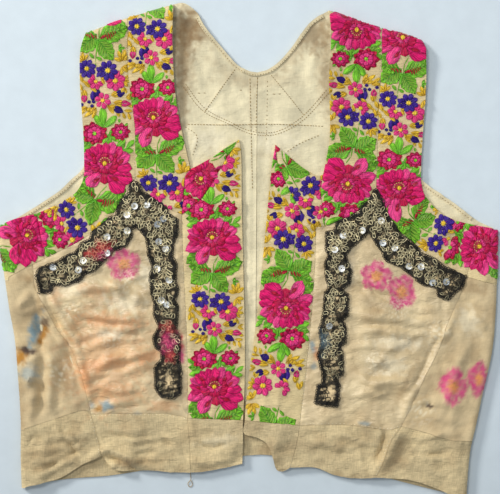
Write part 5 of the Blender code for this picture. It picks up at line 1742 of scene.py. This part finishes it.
def on_front(side, flat, height):
    """Places above the middle of the front's cloth."""
    flat = np.atleast_2d(flat)

    def place(points):
        return front_place(side, points)

    return place(flat) + normals_of(place, flat) * np.reshape(height, (-1, 1))


def ring(middle, wide, high, angle, turns):
    """A flat oval of places round a middle."""
    along = np.array((math.cos(angle), math.sin(angle)))
    beside = np.array((-along[1], along[0]))
    return middle + wide * np.cos(turns)[:, None] * along + high * np.sin(turns)[:, None] * beside


def tarnish(side, x, y):
    """How blackened the metal is, from 0 to 1: most of all at the two ends."""
    foot, end = TARNISHED_ENDS[side]
    near_foot = np.clip((foot - y) / 25, 0, 1)
    near_end = np.clip((np.abs(x) - end) / 14, 0, 1)
    return np.clip(np.maximum(near_foot, near_end) + 0.35 * ripple(x, y, 13.0, 95), 0, 1)


def open_net(side, x, y):
    """Where the net is worn open, from 0 to 1: most of all low down on the right, and in both feet."""
    low = np.clip((-20 - y) / 60, 0, 1) * (side == "right")
    across, up = OPEN_FEET[side]
    foot = np.hypot((x - across) / 4, (y - up) / 8) + 0.2 * ripple(x, y, 5.0, 92) < 1
    return np.clip(np.maximum(ripple(x, y, 7.0, 91) - 0.15 + 0.35 * low, foot), 0, 1)


def metal_colour(middle, share):
    """Metal from dark to light by the share, under the dye that has run into it."""
    colour = COLOURS["dark_metal_and_shade"] + share * (COLOURS["metal_light"] - COLOURS["dark_metal_and_shade"])
    return stained_and_shaded(colour[None], middle[None, 0], middle[None, 1], METAL_STAINS)[0]


def build_metal_thread(side, outline):
    """Couched metal thread: crowded loops, bright over blackened ones, and a dark coil round the edge."""
    chance = np.random.default_rng(4)
    turns = 2 * math.pi * np.arange(10) / 10
    rim = np.concatenate([outline, outline[:1]])
    loops, lifts, colours = [], [], []

    def lay(middle, wide, high, lift, share):
        loops.append(ring(middle, wide, high, chance.uniform(0, math.pi), turns))
        lifts.append(lift + 0.25 * np.sin(turns + chance.uniform(0, 6)))
        colours.append(metal_colour(middle, share))

    for spacing, lift in ((4.0, 0.35), (3.6, 0.95)):
        middles = lattice(outline, spacing)
        middles = middles[nearest_on(rim, *middles.T)[0] > 2.0]
        middles = middles + chance.uniform(-0.8, 0.8, middles.shape)
        black = tarnish(side, middles[:, 0], middles[:, 1])
        openings = open_net(side, middles[:, 0], middles[:, 1])
        for middle, dark, opening in zip(middles, black, openings):
            bright = lift > 0.5
            if opening > (0.45 if bright else 0.7) or (bright and chance.random() < 0.3 + 0.55 * dark):
                continue
            share = chance.uniform(0.7, 1.0) * (1 - 0.7 * dark) if bright else chance.uniform(0, 0.06)
            lay(middle, chance.uniform(1.9, 3.1), chance.uniform(1.1, 1.7), lift, share)
    for depth, pitch, size in ((0.1, 2.4, 1.5), (1.3, 2.0, 1.2), (2.4, 2.4, 1.1)):
        coil = inset(outline, depth)
        for middle in spaced(np.concatenate([coil, coil[:1]]), pitch)[:-1]:
            if depth > 2 and ripple(middle[0], middle[1], 9.0, 98) > 0.2:
                continue
            lay(middle, size * chance.uniform(0.9, 1.2), 0.75 * size, 0.55, chance.uniform(0, 0.22) ** 2)
    height = HALF + SEAM_GAP + NET + np.concatenate(lifts)
    laid = on_front(side, np.concatenate(loops), height).reshape(len(loops), len(turns), 3)
    parts = [(*tube(places, METAL_THREAD, 4, True), colour) for places, colour in zip(laid, colours)]
    return joined(f"{side}_metal_loops", MATERIALS["metal"], parts)


def build_sequins(side, outline):
    """Slightly cupped discs, each held by a thread from its hole to its edge."""
    chance = np.random.default_rng(8)
    profile = ((0.7, 0.10), (2.2, 0.16), (3.0, 0.42), (3.4, 0.80), (3.4, 0.66), (3.0, 0.26),
               (2.2, 0.0), (0.7, -0.06))
    profile = np.array(profile) * (SEQUIN_RADIUS / 3.4, 1.0)
    around = 28
    turns = 2 * math.pi * np.arange(around) / around
    parts = []
    for middle in SEQUINS[side]:
        middle = np.array(middle, float)
        on_ornament = inside(outline, middle[None])[0]
        height = HALF + SEAM_GAP + (NET + 2.2 * METAL_THREAD if on_ornament else 0.1)
        centre = on_front(side, middle, height)[0]
        normal = centre - on_front(side, middle, 0.0)[0]
        tilt = np.array((chance.normal(0, 0.10), chance.normal(0, 0.10), 0))
        normal = normal / np.linalg.norm(normal) + tilt
        normal /= np.linalg.norm(normal)
        across = np.cross((0.0, 1.0, 0.0), normal)
        across /= np.linalg.norm(across)
        up = np.cross(normal, across)
        rings = [
            centre + radius * (np.cos(turns)[:, None] * across + np.sin(turns)[:, None] * up) + rise * normal
            for radius, rise in profile
        ]
        rows = np.arange(len(profile))[:, None]
        side_by = np.arange(around)[None, :]
        after, beside = (rows + 1) % len(profile), (side_by + 1) % around
        a, b = rows * around + side_by, rows * around + beside
        c, d = after * around + beside, after * around + side_by
        a, b, c, d = (corner.reshape(-1) for corner in (a, b, c, d))
        faces = np.concatenate([np.stack([a, b, c], 1), np.stack([a, c, d], 1)])
        grey = chance.random() ** 1.5 * 0.7
        colour = COLOURS["sequin"] + grey * (COLOURS["sequin_grey"] - COLOURS["sequin"])
        parts.append((np.concatenate(rings), faces, colour))
        way = chance.uniform(0, 2 * math.pi)
        out = math.cos(way) * across + math.sin(way) * up
        bridge = [centre + out * away + normal * rise
                  for away, rise in ((0.0, -0.1), (0.6, 0.45), (2.0, 0.5), (3.1, 0.8), (3.7, 0.7),
                                     (3.8, -0.1))]
        parts.append((*tube(bridge, 0.17), COLOURS["binding"]))
    return joined(f"{side}_sequins", MATERIALS["sequin"], parts)


# Lines of hand sewing on the lining: stitch length, gap, places
LINING_SEWING = (
    (2.6, 0.7, ((2, 173), (2.6, 140), (3.5, 100), (4.5, 60))),
    (2.6, 0.7, ((9.5, 174), (8.6, 150), (8, 118))),
    (1.4, 2.6, ((19.5, 172), (19, 140), (18.5, 110))),
    (2.0, 0.7, ((-63, 167), (-43, 142), (-18, 128.5), (2, 119.5), (27, 118.5), (52, 132), (80, 162))),
    (2.0, 0.7, ((-65, 164), (-45, 139.5), (-18, 125.8), (2, 116.8), (27, 115.8), (54, 129.5), (82, 159))),
    (1.8, 0.8, ((-12.5, 181.5), (-28, 160), (-44, 137.5))),
    (1.8, 0.8, ((22.5, 176), (40, 155), (57, 133.5))),
    (2.4, 0.6, ((-61, 126), (-20, 125.5), (30, 126), (77, 124))),
    (2.6, 2.6, ((-53, 157.5), (-46, 157.2), (-40, 157.6))),
    (2.6, 2.6, ((-11, 160.4), (-4, 160.2), (-3, 160.5))),
    (2.6, 2.6, ((22, 156.5), (28, 156.2), (34, 156.6))),
    (1.8, 1.6, ((-64, 124.5), (-51, 114), (-56, 92.5))),
    (1.8, 1.6, ((72, 115.5), (50, 106), (37, 97.5))),
)
# Seams of the front that show their stitches
SEWN_SEAMS = ("yoke_seam", "armhole_seam", "band_seam", "lapel_foot", "notch_seam", "strap_seam")
THREAD = 0.20


def stitches(points, length, gap, hue, radius=THREAD):
    """Short raised stitches along a line in space, with a little unevenness."""
    chance = np.random.default_rng(len(points))
    lengths = lengths_of(points)
    parts = []
    at = gap
    while at + length < lengths[-1]:
        own = length * chance.uniform(0.8, 1.15)
        along = at + own * np.linspace(0, 1, 5)
        places = np.stack([np.interp(along, lengths, points[:, k]) for k in range(3)], axis=1)
        places[:, 2] += radius * np.array((-1.4, 0.5, 0.9, 0.5, -1.4))
        shade = COLOURS[hue] * chance.uniform(0.8, 1.1)
        parts.append((*tube(places, radius * np.array((0.6, 1.0, 1.1, 1.0, 0.6)), 5), shade))
        at += own + gap * chance.uniform(0.8, 1.25)
    return parts


def on_lining(points, height=HALF):
    """Places above the middle of the back's cloth, along a line."""
    flat = lower_pattern(spaced(points, 1.5))
    return back_place(flat) + (0, 0, height)


def build_lining_sewing():
    """Hand sewing on the back's lining and along its bindings."""
    parts = []
    for length, gap, places in LINING_SEWING:
        parts += stitches(on_lining(spline(places)), length, gap, "brown_sewing", 0.3)
    top = HALF + SEAM_GAP + BINDING
    neck = neck_run()
    for points, width in [(neck, BINDING_WIDTH)] + [
        (armhole_run(side), sign * BINDING_WIDTH) for side, sign in SIGNS.items()
    ]:
        strip = strip_middle(points, 0.72 * width)
        parts += stitches(on_lining(strip, top), 1.9, 1.1, "brown_sewing", 0.26)
    obj = joined("lining_sewing", MATERIALS["sewing"], parts)
    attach(obj, "root")
    return obj


def neck_run():
    """The stretch of the back's neck that has a binding."""
    return np.concatenate([line(BACK_LINES, "-left_neck")[1:], line(BACK_LINES, "right_neck")[1:-3]])


def armhole_run(side):
    """The stretch of the back's armhole that has a binding."""
    armhole = line(BACK_LINES, f"{side}_armhole")
    return armhole[(armhole[:, 1] < 140) & (armhole[:, 1] > 33)]


def strip_middle(points, off):
    """The line moved sideways, to the right of its way."""
    ahead = np.gradient(points, axis=0)
    ahead /= np.linalg.norm(ahead, axis=1)[:, None]
    return points + off * np.stack([ahead[:, 1], -ahead[:, 0]], axis=1)


def build_front_sewing(side):
    """Seam stitches of the front, and the hems' running stitches."""
    parts = []
    for name in SEWN_SEAMS:
        if name not in LINES[side]:
            continue
        seam = spaced(line(LINES[side], name), 1.5)
        if len(seam) < 4:
            continue
        for off in (-0.9, 0.9):
            flat = front_pattern(side, strip_middle(seam, off))
            parts += stitches(on_front(side, flat, HALF), 1.3, 2.2, "sewing", 0.13)
    for name in ("hem_seam", "side_hem_seam"):
        seam = spaced(line(LINES[side], name), 1.5)
        flat = front_pattern(side, strip_middle(seam, -1.6 if name == "hem_seam" else 1.6))
        parts += stitches(on_front(side, flat, HALF), 1.8, 1.9, "sewing", 0.15)
    if side == "left":
        loose = spline(LOOSE_THREAD)
        heights = np.interp(loose[:, 1], (-236, -228, -216), (0.4, 1.0, 6.0))
        parts.append((*tube(np.column_stack([loose, heights]), 0.32, 6), COLOURS["brown_sewing"]))
    obj = joined(f"{side}_sewing", MATERIALS["sewing"], parts)
    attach(obj, "root")
    return obj


REPEAT_SHAPES = ribbon_repeat()
build_stage()
bindings = build_bindings()
middle = [bindings["back_neck_binding"], build_lining_sewing()]
for side in SIGNS:
    build_back_half(side)
build_back_hem()
for side in SIGNS:
    build_front(side)
    build_band_tail(side)
